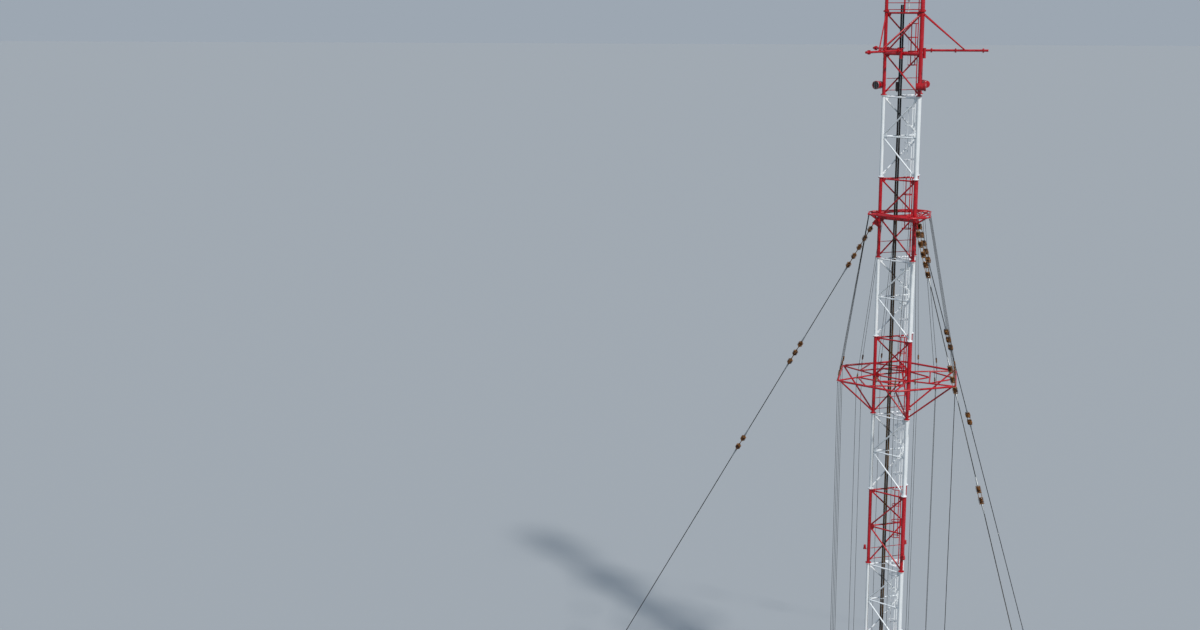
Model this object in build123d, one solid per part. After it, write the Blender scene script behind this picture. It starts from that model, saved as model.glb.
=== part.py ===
from build123d import *
import os
from math import atan2, cos, degrees, hypot, radians, sin, sqrt

# A guyed lattice radio mast at half its real size, in millimetres, standing on its own foot.
# Three round legs stand on a triangle in plan, with one leg to the left (-X), one to the
# front right and one to the rear right. Z runs up the mast axis from the underside of the
# plinth. Sections are counted from the top. The real mast is far taller: the sections below
# the ninth repeat the ones above and are left out, and the foot stands straight under it.

# Sections, legs and flanges
SECTION_COUNT = 9
SECTION_HEIGHT = 3000.0
FACE_WIDTH = 1480.0
LEG_DIAMETER = 125.0
LEG_SIDES = 6
FLANGE_DIAMETER = 215.0
FLANGE_THICKNESS = 30.0

# Bracing of one side of a section
BRACE_WIDTH = 54.0
RING_BEAM_DIAMETER = 125.0
RING_BEAM_SIDES = 8
RING_BEAM_SECTIONS = (0, 2)
NODE_INSET = 60.0
SEAT_GAP = 0.3

# Foot, plinth and ground anchors
PLINTH_HEIGHT = 500.0
PLINTH_WIDTH = 1100.0
PLINTH_CHAMFER = 60.0
BEARING_HEIGHT = 240.0
BEARING_DIAMETER = 300.0
BEARING_PLATE = 40.0
TAPER_HEIGHT = 1400.0
HEAD_PLATE_DIAMETER = 560.0
TAPER_END_RADIUS = 150.0

# Booms under the top platform
BOOM_RISE = 115.0
BOOM_LENGTH = 2790.0
BOOM_DIAMETER = 86.0
BOOM_COLLAR_DIAMETER = 160.0
BOOM_COLLAR_LENGTH = 55.0
BOOM_COLLARS = (790.0, 1640.0, 2610.0)
BOOM_HINGE_DIAMETER = 130.0
BOOM_HINGE_ABOVE = 85.0
BOOM_HINGE_BELOW = 285.0
BOOM_STRUT_RADIUS = 1985.0
BOOM_STRUT_WIDTH = 50.0

# Guy ring on the ring beam of a section; sections are counted from 0 at the top
GUY_SECTION = 2
GUY_RING_RISE = 150.0
GUY_RING_REACH = 1245.0
GUY_RING_HALF_SIDE = 400.0
GUY_RING_MIDDLE = 640.0
GUY_RING_STRUT_DROP = 300.0
GUY_RING_BAR = 56.0
GUY_RING_RIM = 74.0

# Outrigger frames that spread the cage wires
OUTRIGGER_SECTIONS = (4, 8)
OUTRIGGER_RADIUS = 2475.0
OUTRIGGER_MIDDLE = 1200.0
OUTRIGGER_BAR = 58.0
OUTRIGGER_RIM = 76.0
SETBACK = 90.0

# Top platform, its posts and rails, and the beacon on it
TOP_POST_HEIGHT = 550.0
RAIL_WIDTH = 25.0
RAIL_HEIGHTS = (60.0, 300.0, 535.0)
RAIL_POST_WIDTH = 40.0
PLATE_THICKNESS = 10.0
PLATE_INSET = 7.0
BEACON_PLACE = (-60.0, -270.0)
BEACON_POLE_DIAMETER = 50.0
BEACON_POLE_HEIGHT = 420.0
BEACON_BOX = (230.0, 150.0, 240.0)
BEACON_LAMP_DIAMETER = 120.0
BEACON_LAMP_HEIGHT = 150.0
LIGHTNING_ROD_DIAMETER = 16.0
LIGHTNING_ROD_HEIGHT = 1100.0

# Ladder and its safety cage, parallel to the right side of the mast
LADDER_X = 290.0
LADDER_Y = 180.0
LADDER_WIDTH = 210.0
STILE_DEPTH = 30.0
STILE_THICKNESS = 12.0
RUNG_PITCH = SECTION_HEIGHT / 18
RUNG_DIAMETER = 14.0
CAGE_OUTLINE = ((0.0, 110.0), (120.0, 180.0), (320.0, 90.0))
CAGE_FLAT_HEIGHT = 30.0
CAGE_FLAT_THICKNESS = 6.0
CAGE_PITCH = 600.0
CAGE_HEADROOM = 1100.0
CAGE_TOP_GAP = 420.0
BRACKET_HEIGHT = 40.0

# Rest platforms in the rear right corner
REST_SECTIONS = (1, 3, 5, 7)
REST_RAILS = (175.0, 600.0)
REST_RAIL_INSET = 45.0
HATCH = (20.0, 325.0, 25.0, 335.0)

# Feeder lines inside the mast
FEEDER_INSET = 102.0
FEEDER_ALONG = 144.0
FEEDER_DIAMETER = 68.0
FEEDER_SPACING = 84.0
FEEDER_TOP = 230.0
FEEDER_CLEARANCE = 12.0
FEEDER_BRACKET = 40.0
FEEDER_BOX = (80.0, 90.0, 330.0)
FEEDER_BOX_RISE = 300.0

# Lamps on the legs, each above the lower joint of its section and out from its leg's axis
LAMP_RISE = 360.0
LAMP_DIAMETER = 310.0
LAMP_LENGTH = 350.0
LAMP_BEZEL = 60.0
LAMP_BEZEL_RIM = 18.0
LAMP_REACH = 239.5216
LAMP_FORWARD = 115.0
LAMP_ARM = 70.0
LAMP_SIDES = 10
MARKER_SECTION = 6
MARKER_RISE = 550.0
MARKER_DIAMETER = 120.0
MARKER_HEIGHT = 170.0
MARKER_ARM = 150.0

# Guys: lug on the leg, below the ring beam, strain insulators, rope, tensioner and anchor
GUY_PIN_SINK = 250.0
GUY_PIN_REACH = 220.5216
GUY_SPREAD = 0.555
GUY_SWING = 2.3
GUY_ROPE_DIAMETER = 36.0
GUY_LUG_THICKNESS = 24.0
GUY_LUG_HEIGHT = 300.0
INSULATOR_PITCH = 390.0
INSULATOR_DIAMETER = 200.0
INSULATOR_LENGTH = 190.0
CROSSHEAD_LENGTH = 26.0
CROSSHEAD_WIDTH = 190.0
CROSSHEAD_DEPTH = 50.0
LINK_SPACING = 130.0
LINK_DIAMETER = 22.0
GUY_CLUSTER_STARTS = (110.0, 5220.0, 9580.0)
GUY_CLUSTER_COUNTS = (5, 3, 2)
TENSIONER_LENGTH = 900.0
ANCHOR_PIN_HEIGHT = 620.0
ANCHOR_BLOCK = (1100.0, 800.0, 450.0)
ANCHOR_PLATE_THICKNESS = 30.0
PLATE_NOSE = 120.0

# Cage wires from the guy ring over the outriggers
WIRE_DIAMETER = 20.0
WIRE_LUG = 50.0
WIRE_LUG_WIDTH = 30.0
WIRE_INSULATOR_DIAMETER = 70.0
WIRE_INSULATOR_LENGTH = 200.0
WIRE_INSULATOR_GAP = 160.0
WIRES_PER_SIDE = 3

# Levels and plan radii that follow from them
BASE_Z = PLINTH_HEIGHT + BEARING_HEIGHT + TAPER_HEIGHT
TOP_Z = BASE_Z + SECTION_COUNT * SECTION_HEIGHT
LEG_CIRCLE = FACE_WIDTH / sqrt(3)
BOOM_DROP = SECTION_HEIGHT / 2 - BOOM_RISE
GUY_RING_DROP = (GUY_SECTION + 0.5) * SECTION_HEIGHT - GUY_RING_RISE
GUY_PIN_DROP = (GUY_SECTION + 0.5) * SECTION_HEIGHT + GUY_PIN_SINK
GUY_PIN_RADIUS = LEG_CIRCLE + GUY_PIN_REACH
OUTRIGGER_DROPS = [(index + 0.5) * SECTION_HEIGHT for index in OUTRIGGER_SECTIONS]
FEEDER_BOX_DROP = SECTION_HEIGHT - FEEDER_BOX_RISE
LAMP_DROP = SECTION_HEIGHT - LAMP_RISE
LAMP_RADIUS = LEG_CIRCLE + LAMP_REACH
MARKER_DROP = (MARKER_SECTION + 1) * SECTION_HEIGHT - MARKER_RISE
FACE_DISTANCE = LEG_CIRCLE / 2
LEG_FLAT = LEG_DIAMETER / 2 * cos(radians(180 / LEG_SIDES))
LEG_AZIMUTHS = (60.0, 180.0, 300.0)
FACE_AZIMUTHS = (0.0, 120.0, 240.0)
FEEDER_SIDE = 120.0
UP = Vector(0, 0, 1)

# Line of a guy in the plane of its leg: where it starts, the way it runs and its length
GUY_PIN = Vector(GUY_PIN_RADIUS, 0, TOP_Z - GUY_PIN_DROP)
GUY_WAY = Vector(GUY_SPREAD, 0, -1).normalized()
GUY_ACROSS = Vector(1, 0, GUY_SPREAD).normalized()
GUY_LENGTH = (GUY_PIN.Z - ANCHOR_PIN_HEIGHT) * hypot(GUY_SPREAD, 1)


def polar(radius, azimuth, z=0.0):
    """Point at a distance from the mast axis, on a plan azimuth from +X."""
    return Vector(radius * cos(radians(azimuth)), radius * sin(radians(azimuth)), z)


def turned(shape, azimuth, z=0.0):
    """Copy of a shape turned about the mast axis and lifted."""
    return Pos(0, 0, z) * Rot(0, 0, azimuth) * shape


def section_plane(start, end):
    """Plane across a bar at its start, with its x level, and the bar's length."""
    run = Vector(*end) - Vector(*start)
    across = run.cross(UP) if run.cross(UP).length > 1e-6 else Vector(1, 0, 0)
    return Plane(origin=start, x_dir=across, z_dir=run), run.length


def bar(start, end, diameter, sides=8):
    """Straight tube drawn with a few flat sides, one of them on top when it lies level."""
    plane, length = section_plane(start, end)
    turn = 180 / sides if sides % 4 == 0 else 0
    return extrude(plane * RegularPolygon(diameter / 2, sides, rotation=turn), length)


def square_bar(start, end, width):
    """Straight square bar with two of its sides upright."""
    plane, length = section_plane(start, end)
    return extrude(plane * Rectangle(width, width), length)


def level_ended(start, end, diameter, sides):
    """Straight bar whose two ends are cut level, to sit on level faces."""
    run = Vector(*end) - Vector(*start)
    face = Plane(origin=start) * RegularPolygon(diameter / 2, sides)
    return extrude(face, run.length, dir=run)


def block(low, high):
    """Box between two opposite corners."""
    size = [h - l for l, h in zip(low, high)]
    return Pos(*low) * Box(*size, align=(Align.MIN, Align.MIN, Align.MIN))


def plate(points, plane, thickness):
    """Flat plate on a plane, its outline given in the plane's own x and y."""
    return extrude(plane * make_face(Polyline(*points, close=True)), thickness)


def upright(diameter, sides, low, high, turn=0.0):
    """Upright prism on the mast axis."""
    return Pos(0, 0, low) * extrude(RegularPolygon(diameter / 2, sides, rotation=turn), high - low)


def joined(pieces):
    """One solid out of pieces that run into each other."""
    return pieces[0].fuse(*pieces[1:])


def cut(piece, cutters):
    """A piece trimmed by the ones it meets; off-cuts beyond them are dropped."""
    rest = piece
    for cutter in cutters:
        rest = rest - cutter
    return max(rest.solids(), key=lambda solid: solid.volume)


def write(node, pieces):
    """One STEP file per node, with each piece as a solid of its own."""
    solids = [solid for piece in pieces for solid in piece.solids()]
    export_step(Compound(label=node, children=solids), f"parts/{node}.step")
    print(node, len(solids))


def leg_socket(azimuth, low, high):
    """Room that a leg takes out of whatever meets it, with the seating gap."""
    across = LEG_DIAMETER + 2 * SEAT_GAP / cos(radians(180 / LEG_SIDES))
    return turned(Pos(LEG_CIRCLE, 0, 0) * upright(across, LEG_SIDES, low, high), azimuth)


def leg_sockets(low, high):
    return [leg_socket(azimuth, low, high) for azimuth in LEG_AZIMUTHS]


def section_leg(length=SECTION_HEIGHT):
    """Tube of one leg with the bolting flange at its lower end."""
    tube = upright(LEG_DIAMETER, LEG_SIDES, 0, length)
    flange = upright(FLANGE_DIAMETER, LEG_SIDES, 0, FLANGE_THICKNESS)
    return Pos(LEG_CIRCLE, 0, 0) * (tube + flange)


def leg_face_cutter(side):
    """Everything past the flat of a leg that the bars of the +X side end on."""
    wide, over = 4 * LEG_DIAMETER, SEAT_GAP
    room = block((-wide, -wide, -over), (LEG_FLAT + SEAT_GAP, wide, SECTION_HEIGHT + over))
    turn = side * 60 - side * 180 * (1 - 1 / LEG_SIDES)
    return Pos(FACE_DISTANCE, side * FACE_WIDTH / 2, 0) * Rot(0, 0, turn) * room


def side_panel(beam):
    """Flat side of a section on the +X face: two level bars and two diagonals to one leg."""
    half = FACE_WIDTH / 2
    top, middle, low = SECTION_HEIGHT - NODE_INSET, SECTION_HEIGHT / 2, NODE_INSET

    def spot(y, z):
        return (FACE_DISTANCE, y, z)

    pieces = [
        square_bar(spot(-half, top), spot(half, top), BRACE_WIDTH),
        square_bar(spot(half, top), spot(-half, middle), BRACE_WIDTH),
        square_bar(spot(-half, middle), spot(half, low), BRACE_WIDTH),
    ]
    if beam:
        pieces.append(bar(spot(-half, middle), spot(half, middle), RING_BEAM_DIAMETER,
                          RING_BEAM_SIDES))
    else:
        pieces.append(square_bar(spot(-half, middle), spot(half, middle), BRACE_WIDTH))
    panel = joined(pieces)
    if beam:
        panel = panel & mitre_wedge(0, SECTION_HEIGHT)
    return cut(panel, [leg_face_cutter(side) for side in (-1, 1)])


def section_base(index):
    """Height of the lower end of a section, counted from 0 at the top."""
    return TOP_Z - (index + 1) * SECTION_HEIGHT


def bar_half(index, middle):
    """Half the thickness of a level bar of a section, its heavy ring beam included."""
    if middle and index in RING_BEAM_SECTIONS:
        return RING_BEAM_DIAMETER / 2 * cos(radians(180 / RING_BEAM_SIDES))
    return BRACE_WIDTH / 2


def bar_levels():
    """Height and half thickness of every level bar, from the top down."""
    levels = []
    for index in range(SECTION_COUNT):
        for middle in (False, True):
            rise = SECTION_HEIGHT / 2 if middle else SECTION_HEIGHT - NODE_INSET
            levels.append((section_base(index) + rise, bar_half(index, middle)))
    return levels


def mitre_wedge(low, high):
    """Share of the plan that belongs to one side, from leg to leg, with the seating gap."""
    far = 4 * LEG_CIRCLE
    outline = [(SEAT_GAP, 0), (far * cos(radians(60)), -far * sin(radians(60))),
               (far * cos(radians(60)), far * sin(radians(60)))]
    return plate(outline, Plane(origin=(0, 0, low)), high - low)


def panels_at(index):
    """The three sides of a section in place, to trim what meets them."""
    panel = BEAM_PANEL if index in RING_BEAM_SECTIONS else PLAIN_PANEL
    return [turned(panel, azimuth, section_base(index)) for azimuth in FACE_AZIMUTHS]


def spreader(z, reach, half_side, middle, strut_drop, width, rim, panels):
    """Six-cornered frame held out from the legs, with a strut from below to each corner.

    Each leg carries a triangle out to its two corners. Between the legs a panel with a middle
    bar is braced in two Vs, and every piece is trimmed where it meets the one before it.
    The bars of the outer rim are the heavier ones.
    """
    sockets = leg_sockets(z - 2 * strut_drop - reach, z + reach)
    leg = Vector(LEG_CIRCLE, 0, z)
    corners = [Vector(reach, side * half_side, z) for side in (-1, 1)]
    triangle = joined([square_bar(leg, corners[0], width), square_bar(leg, corners[1], width),
                       square_bar(corners[0], corners[1], rim)])
    triangles = [cut(turned(triangle, azimuth), sockets + panels) for azimuth in LEG_AZIMUTHS]

    corner_azimuth = 60 - degrees(atan2(half_side, reach))
    corner = polar(hypot(reach, half_side), corner_azimuth, z)
    foot = polar(LEG_CIRCLE, 60, z)
    knee = foot + (corner - foot) * ((middle - foot.X) / (corner.X - foot.X))
    frames = []
    for face in FACE_AZIMUTHS:
        bars = [square_bar((corner.X, -corner.Y, z), corner, rim),
                square_bar((knee.X, -knee.Y, z), knee, width)]
        for side in (-1, 1):
            bars.append(square_bar((foot.X, side * foot.Y, z), (knee.X, 0, z), width))
            bars.append(square_bar((knee.X, side * knee.Y, z), (corner.X, 0, z), width))
        near = [t for t, a in zip(triangles, LEG_AZIMUTHS) if abs((a - face) % 360 - 180) > 100]
        frames.append(cut(turned(joined(bars), face), near + sockets + panels))

    struts = []
    for index, azimuth in enumerate(LEG_AZIMUTHS):
        for end in corners:
            head = end - (end - leg).normalized() * SETBACK
            strut = turned(square_bar(leg - UP * strut_drop, head, width), azimuth)
            struts.append(cut(strut, [triangles[index]] + frames + sockets + panels))
    return triangles + frames + struts


def boom(sockets, panels):
    """Boom out from a hinge post on the +X side's ring beam, with its collars and struts."""
    z = TOP_Z - BOOM_DROP
    flat = cos(radians(180 / 8)) / 2
    axis = FACE_DISTANCE + (RING_BEAM_DIAMETER + BOOM_HINGE_DIAMETER) * flat + SEAT_GAP
    hinge = upright(BOOM_HINGE_DIAMETER, 8, z - BOOM_HINGE_BELOW, z + BOOM_HINGE_ABOVE, 180 / 8)
    pieces = [Pos(axis, 0, 0) * hinge, bar((axis, 0, z), (BOOM_LENGTH, 0, z), BOOM_DIAMETER)]
    for place in BOOM_COLLARS:
        start = place - BOOM_COLLAR_LENGTH / 2
        pieces.append(bar((start, 0, z), (start + BOOM_COLLAR_LENGTH, 0, z), BOOM_COLLAR_DIAMETER))
    tube = joined(pieces)
    struts = []
    for side in (-1, 1):
        top = polar(LEG_CIRCLE, side * 60, TOP_Z - NODE_INSET)
        strut = square_bar(top, (BOOM_STRUT_RADIUS, 0, z), BOOM_STRUT_WIDTH)
        struts.append(cut(strut, [tube] + struts + sockets + panels))
    return tube, struts


def plan_plate(points, z, cutters):
    """Level floor plate with the climbing hatch and room for what passes through it."""
    floor = plate(points, Plane(origin=(0, 0, z)), PLATE_THICKNESS)
    x_low, x_high, y_low, y_high = HATCH
    hatch = block((x_low, y_low, z - 1), (x_high, y_high, z + PLATE_THICKNESS + 1))
    return cut(floor, [hatch] + cutters)


def face_line(x_inset, azimuth, along):
    """Plan point just inside a side, a share of the way from its first leg to its second."""
    y = (along - 0.5) * FACE_WIDTH
    spot = Vector(FACE_DISTANCE - x_inset, y, 0).rotate(Axis.Z, azimuth)
    return (spot.X, spot.Y)


def floor_level(index):
    """Top of the level bars at the head of a section, where a floor plate lies."""
    return section_base(index) + SECTION_HEIGHT - NODE_INSET + BRACE_WIDTH / 2


def ladder():
    """Two stiles and their rungs, bracketed to the level bars of the right side."""
    low = BASE_Z + 2 * RUNG_PITCH
    high = TOP_Z + TOP_POST_HEIGHT
    pieces = []
    for side in (-1, 1):
        y = LADDER_Y + side * LADDER_WIDTH / 2
        ends = sorted((y, y + side * STILE_THICKNESS))
        pieces.append(block((LADDER_X - STILE_DEPTH / 2, ends[0], low),
                            (LADDER_X + STILE_DEPTH / 2, ends[1], high)))
        for z, half in bar_levels():
            pieces.append(block((LADDER_X + STILE_DEPTH / 2, ends[0], z - BRACKET_HEIGHT / 2),
                                (FACE_DISTANCE - half, ends[1], z + BRACKET_HEIGHT / 2)))
    for step in range(int((high - low) / RUNG_PITCH)):
        z = low + (step + 0.5) * RUNG_PITCH
        start = (LADDER_X, LADDER_Y - LADDER_WIDTH / 2, z)
        pieces.append(bar(start, (LADDER_X, LADDER_Y + LADDER_WIDTH / 2, z), RUNG_DIAMETER, 4))
    return pieces


def cage_runs():
    """Stretches of the ladder that have a cage: above each floor, up to the next one."""
    floors = [TOP_Z] + [floor_level(index) for index in REST_SECTIONS] + [BASE_Z]
    return [(low + CAGE_HEADROOM, high - CAGE_TOP_GAP) for high, low in zip(floors, floors[1:])]


def cage():
    """Bent flat hoops round the climber, tied by upright flats inside them."""
    front = LADDER_X - STILE_DEPTH / 2
    (u0, v0), (u1, v1) = CAGE_OUTLINE[:2]
    lead = 4 * CAGE_FLAT_THICKNESS
    half = [(u0 - lead, v0 - lead * (v1 - v0) / (u1 - u0))] + list(CAGE_OUTLINE)
    path = half + [(u, -v) for u, v in reversed(half)]
    points = [(front - u, LADDER_Y + v) for u, v in path]
    ring = Polyline(*points[1:-1])
    outer = make_face(Polyline(*points, close=True))
    inner = offset(outer, amount=-CAGE_FLAT_THICKNESS, kind=Kind.INTERSECTION)
    past = block((front, LADDER_Y - 2 * v0, -1), (front + 2 * lead, LADDER_Y + 2 * v0, 2 * lead + 1))
    hoop = cut(extrude(outer - inner, CAGE_FLAT_HEIGHT), [past])
    pieces = []
    for low, high in cage_runs():
        count = max(2, round((high - low) / CAGE_PITCH) + 1)
        step = (high - low - CAGE_FLAT_HEIGHT) / (count - 1)
        pieces += [Pos(0, 0, low + number * step) * hoop for number in range(count)]
        for edge in ring.edges():
            plane = Plane(origin=edge @ 0.5, x_dir=edge % 0.5, z_dir=UP)
            tie = Rectangle(CAGE_FLAT_HEIGHT, CAGE_FLAT_THICKNESS, align=(Align.CENTER, Align.MIN))
            inward = plane * Pos(0, CAGE_FLAT_THICKNESS, 0) * tie
            pieces.append(Pos(0, 0, low) * extrude(inward, high - low))
    return pieces


def guy_spot(distance, side=0.0):
    """Point down the line of a guy from its pin, and to one side of it."""
    return GUY_PIN + GUY_WAY * distance + Vector(0, side, 0)


def crosshead(distance):
    """Steel block across the guy that the links and rods are hung in."""
    plane = Plane(origin=guy_spot(distance), x_dir=(0, 1, 0), z_dir=GUY_WAY)
    return extrude(plane * Rectangle(CROSSHEAD_WIDTH, CROSSHEAD_DEPTH), CROSSHEAD_LENGTH)


def side_rods(low, high):
    """Pair of rods between two crossheads."""
    return [bar(guy_spot(low, side * LINK_SPACING / 2), guy_spot(high, side * LINK_SPACING / 2),
                LINK_DIAMETER, 4) for side in (-1, 1)]


def swung(shape):
    """Copy of a shape turned a little about its leg, to where the anchor stands."""
    return Pos(LEG_CIRCLE, 0, 0) * Rot(0, 0, GUY_SWING) * Pos(-LEG_CIRCLE, 0, 0) * shape


def guy_parts():
    """Rope lengths, ceramic bodies and steel links of one guy."""
    ropes, bodies = [], []
    links = [bar(GUY_PIN, guy_spot(GUY_CLUSTER_STARTS[0]), LINK_DIAMETER * 1.5, 4)]
    ends = []
    for start, count in zip(GUY_CLUSTER_STARTS, GUY_CLUSTER_COUNTS):
        for number in range(count):
            head = start + number * INSULATOR_PITCH
            body = head + CROSSHEAD_LENGTH
            tail = body + INSULATOR_LENGTH
            links += [crosshead(head), crosshead(tail)]
            bodies.append(bar(guy_spot(body), guy_spot(tail), INSULATOR_DIAMETER, 8))
            if number < count - 1:
                links += side_rods(tail + CROSSHEAD_LENGTH, head + INSULATOR_PITCH)
        ends.append(tail + CROSSHEAD_LENGTH)
    starts = [*GUY_CLUSTER_STARTS[1:], GUY_LENGTH - TENSIONER_LENGTH]
    for low, high in zip(ends, starts):
        ropes.append(bar(guy_spot(low), guy_spot(high), GUY_ROPE_DIAMETER, 6))
    return ropes, bodies, links


def tensioner():
    """Two threaded rods between the rope end and the anchor plate."""
    start = GUY_LENGTH - TENSIONER_LENGTH
    end = GUY_LENGTH - CROSSHEAD_LENGTH
    return [crosshead(start), crosshead(end)] + side_rods(start + CROSSHEAD_LENGTH, end)


def anchor(end):
    """Concrete block and the steel plate on it that the guy pulls on, in the +X plane."""
    long, wide, high = ANCHOR_BLOCK
    stone = block((end.X - long / 2, -wide / 2, 0), (end.X + long / 2, wide / 2, high))
    plane = Plane(origin=(0, ANCHOR_PLATE_THICKNESS / 2, 0), x_dir=(1, 0, 0), z_dir=(0, -1, 0))
    over, under = (end + GUY_ACROSS * side * PLATE_NOSE / 2 for side in (1, -1))
    outline = [(over.X, over.Z), (over.X + PLATE_NOSE, over.Z - PLATE_NOSE / 2),
               (end.X + 3 * PLATE_NOSE, high), (end.X - PLATE_NOSE, high), (under.X, under.Z)]
    return stone, plate(outline, plane, ANCHOR_PLATE_THICKNESS)


def guy_lug():
    """Lug plate on the outer face of a leg, its nose square to the guy, in the +X plane."""
    plane = Plane(origin=(0, GUY_LUG_THICKNESS / 2, 0), x_dir=(1, 0, 0), z_dir=(0, -1, 0))
    over, under = (GUY_PIN + GUY_ACROSS * side * PLATE_NOSE / 2 for side in (1, -1))
    outline = [(LEG_CIRCLE, GUY_PIN.Z + GUY_LUG_HEIGHT), (over.X, over.Z), (under.X, under.Z),
               (LEG_CIRCLE, GUY_PIN.Z - GUY_LUG_HEIGHT / 3)]
    return plate(outline, plane, GUY_LUG_THICKNESS)


def side_points(reach, half_side):
    """Plan points along the six sides of a spreader frame: corners and equal shares between."""
    corner_radius = hypot(reach, half_side)
    swing = degrees(atan2(half_side, reach))
    azimuths = sorted(a + s * swing for a in LEG_AZIMUTHS for s in (-1, 1))
    corners = [polar(corner_radius, azimuth) for azimuth in azimuths]
    points = []
    for first, second in zip(corners, corners[1:] + corners[:1]):
        for share in range(WIRES_PER_SIDE):
            points.append(first + (second - first) * (share / WIRES_PER_SIDE))
    return points


def cage_wires():
    """Wires down the outside of the mast with an insulator above the upper outrigger."""
    ring = side_points(GUY_RING_REACH, GUY_RING_HALF_SIDE)
    reach = OUTRIGGER_RADIUS * cos(radians(30))
    star = side_points(reach, OUTRIGGER_RADIUS * sin(radians(30)))
    wires, bodies = [], []
    ring_z = TOP_Z - GUY_RING_DROP - GUY_RING_RIM / 2
    star_tops = [TOP_Z - drop + OUTRIGGER_RIM / 2 for drop in OUTRIGGER_DROPS]
    star_low = TOP_Z - OUTRIGGER_DROPS[0] - OUTRIGGER_RIM / 2
    for inner, outer in zip(ring, star):
        start = inner + UP * (ring_z)
        end = outer + UP * (star_tops[0])
        run = end - start
        way = run.normalized()
        low = end - way * WIRE_INSULATOR_GAP
        high = low - way * WIRE_INSULATOR_LENGTH
        wires.append(level_ended(start, high, WIRE_DIAMETER, 4))
        bodies.append(level_ended(high, low, WIRE_INSULATOR_DIAMETER, 6))
        wires.append(level_ended(low, end, WIRE_DIAMETER, 4))
        wires.append(level_ended(outer + UP * star_low, outer + UP * star_tops[1], WIRE_DIAMETER, 4))
    return wires, bodies


os.makedirs("parts", exist_ok=True)
PLAIN_PANEL = side_panel(False)
BEAM_PANEL = side_panel(True)

# Lattice sections
LEG = section_leg()
for number in range(SECTION_COUNT):
    level = section_base(number)
    write(f"section_{number + 1}_legs", [turned(LEG, azimuth, level) for azimuth in LEG_AZIMUTHS])
    write(f"section_{number + 1}_bracing", panels_at(number))

# Booms and their struts
head_sockets = leg_sockets(TOP_Z - SECTION_HEIGHT, TOP_Z)
right_panel = [panels_at(0)[0]]
boom_tube, boom_struts = boom(head_sockets, right_panel)
write("booms", [turned(boom_tube, azimuth) for azimuth in FACE_AZIMUTHS])
write("boom_struts", [turned(s, azimuth) for azimuth in FACE_AZIMUTHS for s in boom_struts])

# Guy ring, lugs and outriggers
write("guy_ring", spreader(TOP_Z - GUY_RING_DROP, GUY_RING_REACH, GUY_RING_HALF_SIDE,
                           GUY_RING_MIDDLE, GUY_RING_STRUT_DROP, GUY_RING_BAR, GUY_RING_RIM,
                           panels_at(GUY_SECTION)))
strut_foot = SECTION_HEIGHT / 2 - NODE_INSET
outriggers = zip(("upper_outrigger", "lower_outrigger"), OUTRIGGER_DROPS, OUTRIGGER_SECTIONS)
for name, drop, section in outriggers:
    write(name, spreader(TOP_Z - drop, OUTRIGGER_RADIUS * cos(radians(30)),
                         OUTRIGGER_RADIUS * sin(radians(30)), OUTRIGGER_MIDDLE, strut_foot,
                         OUTRIGGER_BAR, OUTRIGGER_RIM, panels_at(section)))

# Top of the mast
top_sockets = leg_sockets(TOP_Z, TOP_Z + TOP_POST_HEIGHT)
post = section_leg(TOP_POST_HEIGHT)
write("top_posts", [turned(post, azimuth, TOP_Z) for azimuth in LEG_AZIMUTHS])
rail_set = [square_bar((FACE_DISTANCE, -FACE_WIDTH / 2, TOP_Z + z),
                       (FACE_DISTANCE, FACE_WIDTH / 2, TOP_Z + z), RAIL_WIDTH) for z in RAIL_HEIGHTS]
rail_set.append(square_bar((FACE_DISTANCE, 0, floor_level(0)),
                           (FACE_DISTANCE, 0, TOP_Z + RAIL_HEIGHTS[-1]), RAIL_POST_WIDTH))
rails = cut(joined(rail_set), top_sockets)
write("top_rails", [turned(rails, azimuth) for azimuth in FACE_AZIMUTHS])
corner_points = []
for azimuth in FACE_AZIMUTHS:
    corner_points += [face_line(PLATE_INSET, azimuth, 0.06), face_line(PLATE_INSET, azimuth, 0.94)]
feeder_x = FACE_DISTANCE - FEEDER_INSET
feeder_room = FEEDER_DIAMETER / 2 + FEEDER_CLEARANCE
deck_low, deck_high = floor_level(0) - 1, floor_level(0) + PLATE_THICKNESS + 1
room = block((feeder_x - feeder_room, FEEDER_ALONG - FEEDER_SPACING / 2 - feeder_room, deck_low),
             (feeder_x + feeder_room, FEEDER_ALONG + FEEDER_SPACING / 2 + feeder_room, deck_high))
openings = [turned(room, FEEDER_SIDE)]
notch = RAIL_POST_WIDTH / 2 + SEAT_GAP
for azimuth in FACE_AZIMUTHS:
    room = block((FACE_DISTANCE - notch, -notch, deck_low), (FACE_DISTANCE + notch, notch, deck_high))
    openings.append(turned(room, azimuth))
write("top_platform", [plan_plate(corner_points, floor_level(0), openings)])

# Beacon on the top platform
bx, by = BEACON_PLACE
deck = floor_level(0) + PLATE_THICKNESS
long, wide, high = BEACON_BOX
box_low = deck + BEACON_POLE_HEIGHT
beacon = [Pos(bx, by, 0) * upright(BEACON_POLE_DIAMETER, 8, deck, box_low),
          block((bx - long / 2, by - wide / 2, box_low), (bx + long / 2, by + wide / 2, box_low + high)),
          Pos(bx - long / 2 + 30, by, 0) * upright(LIGHTNING_ROD_DIAMETER, 4, box_low + high,
                                                   deck + LIGHTNING_ROD_HEIGHT)]
beacon.append(Pos(bx + 30, by, 0) * upright(BEACON_LAMP_DIAMETER, 12, box_low + high,
                                            box_low + high + BEACON_LAMP_HEIGHT))
write("beacon", beacon)

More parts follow.
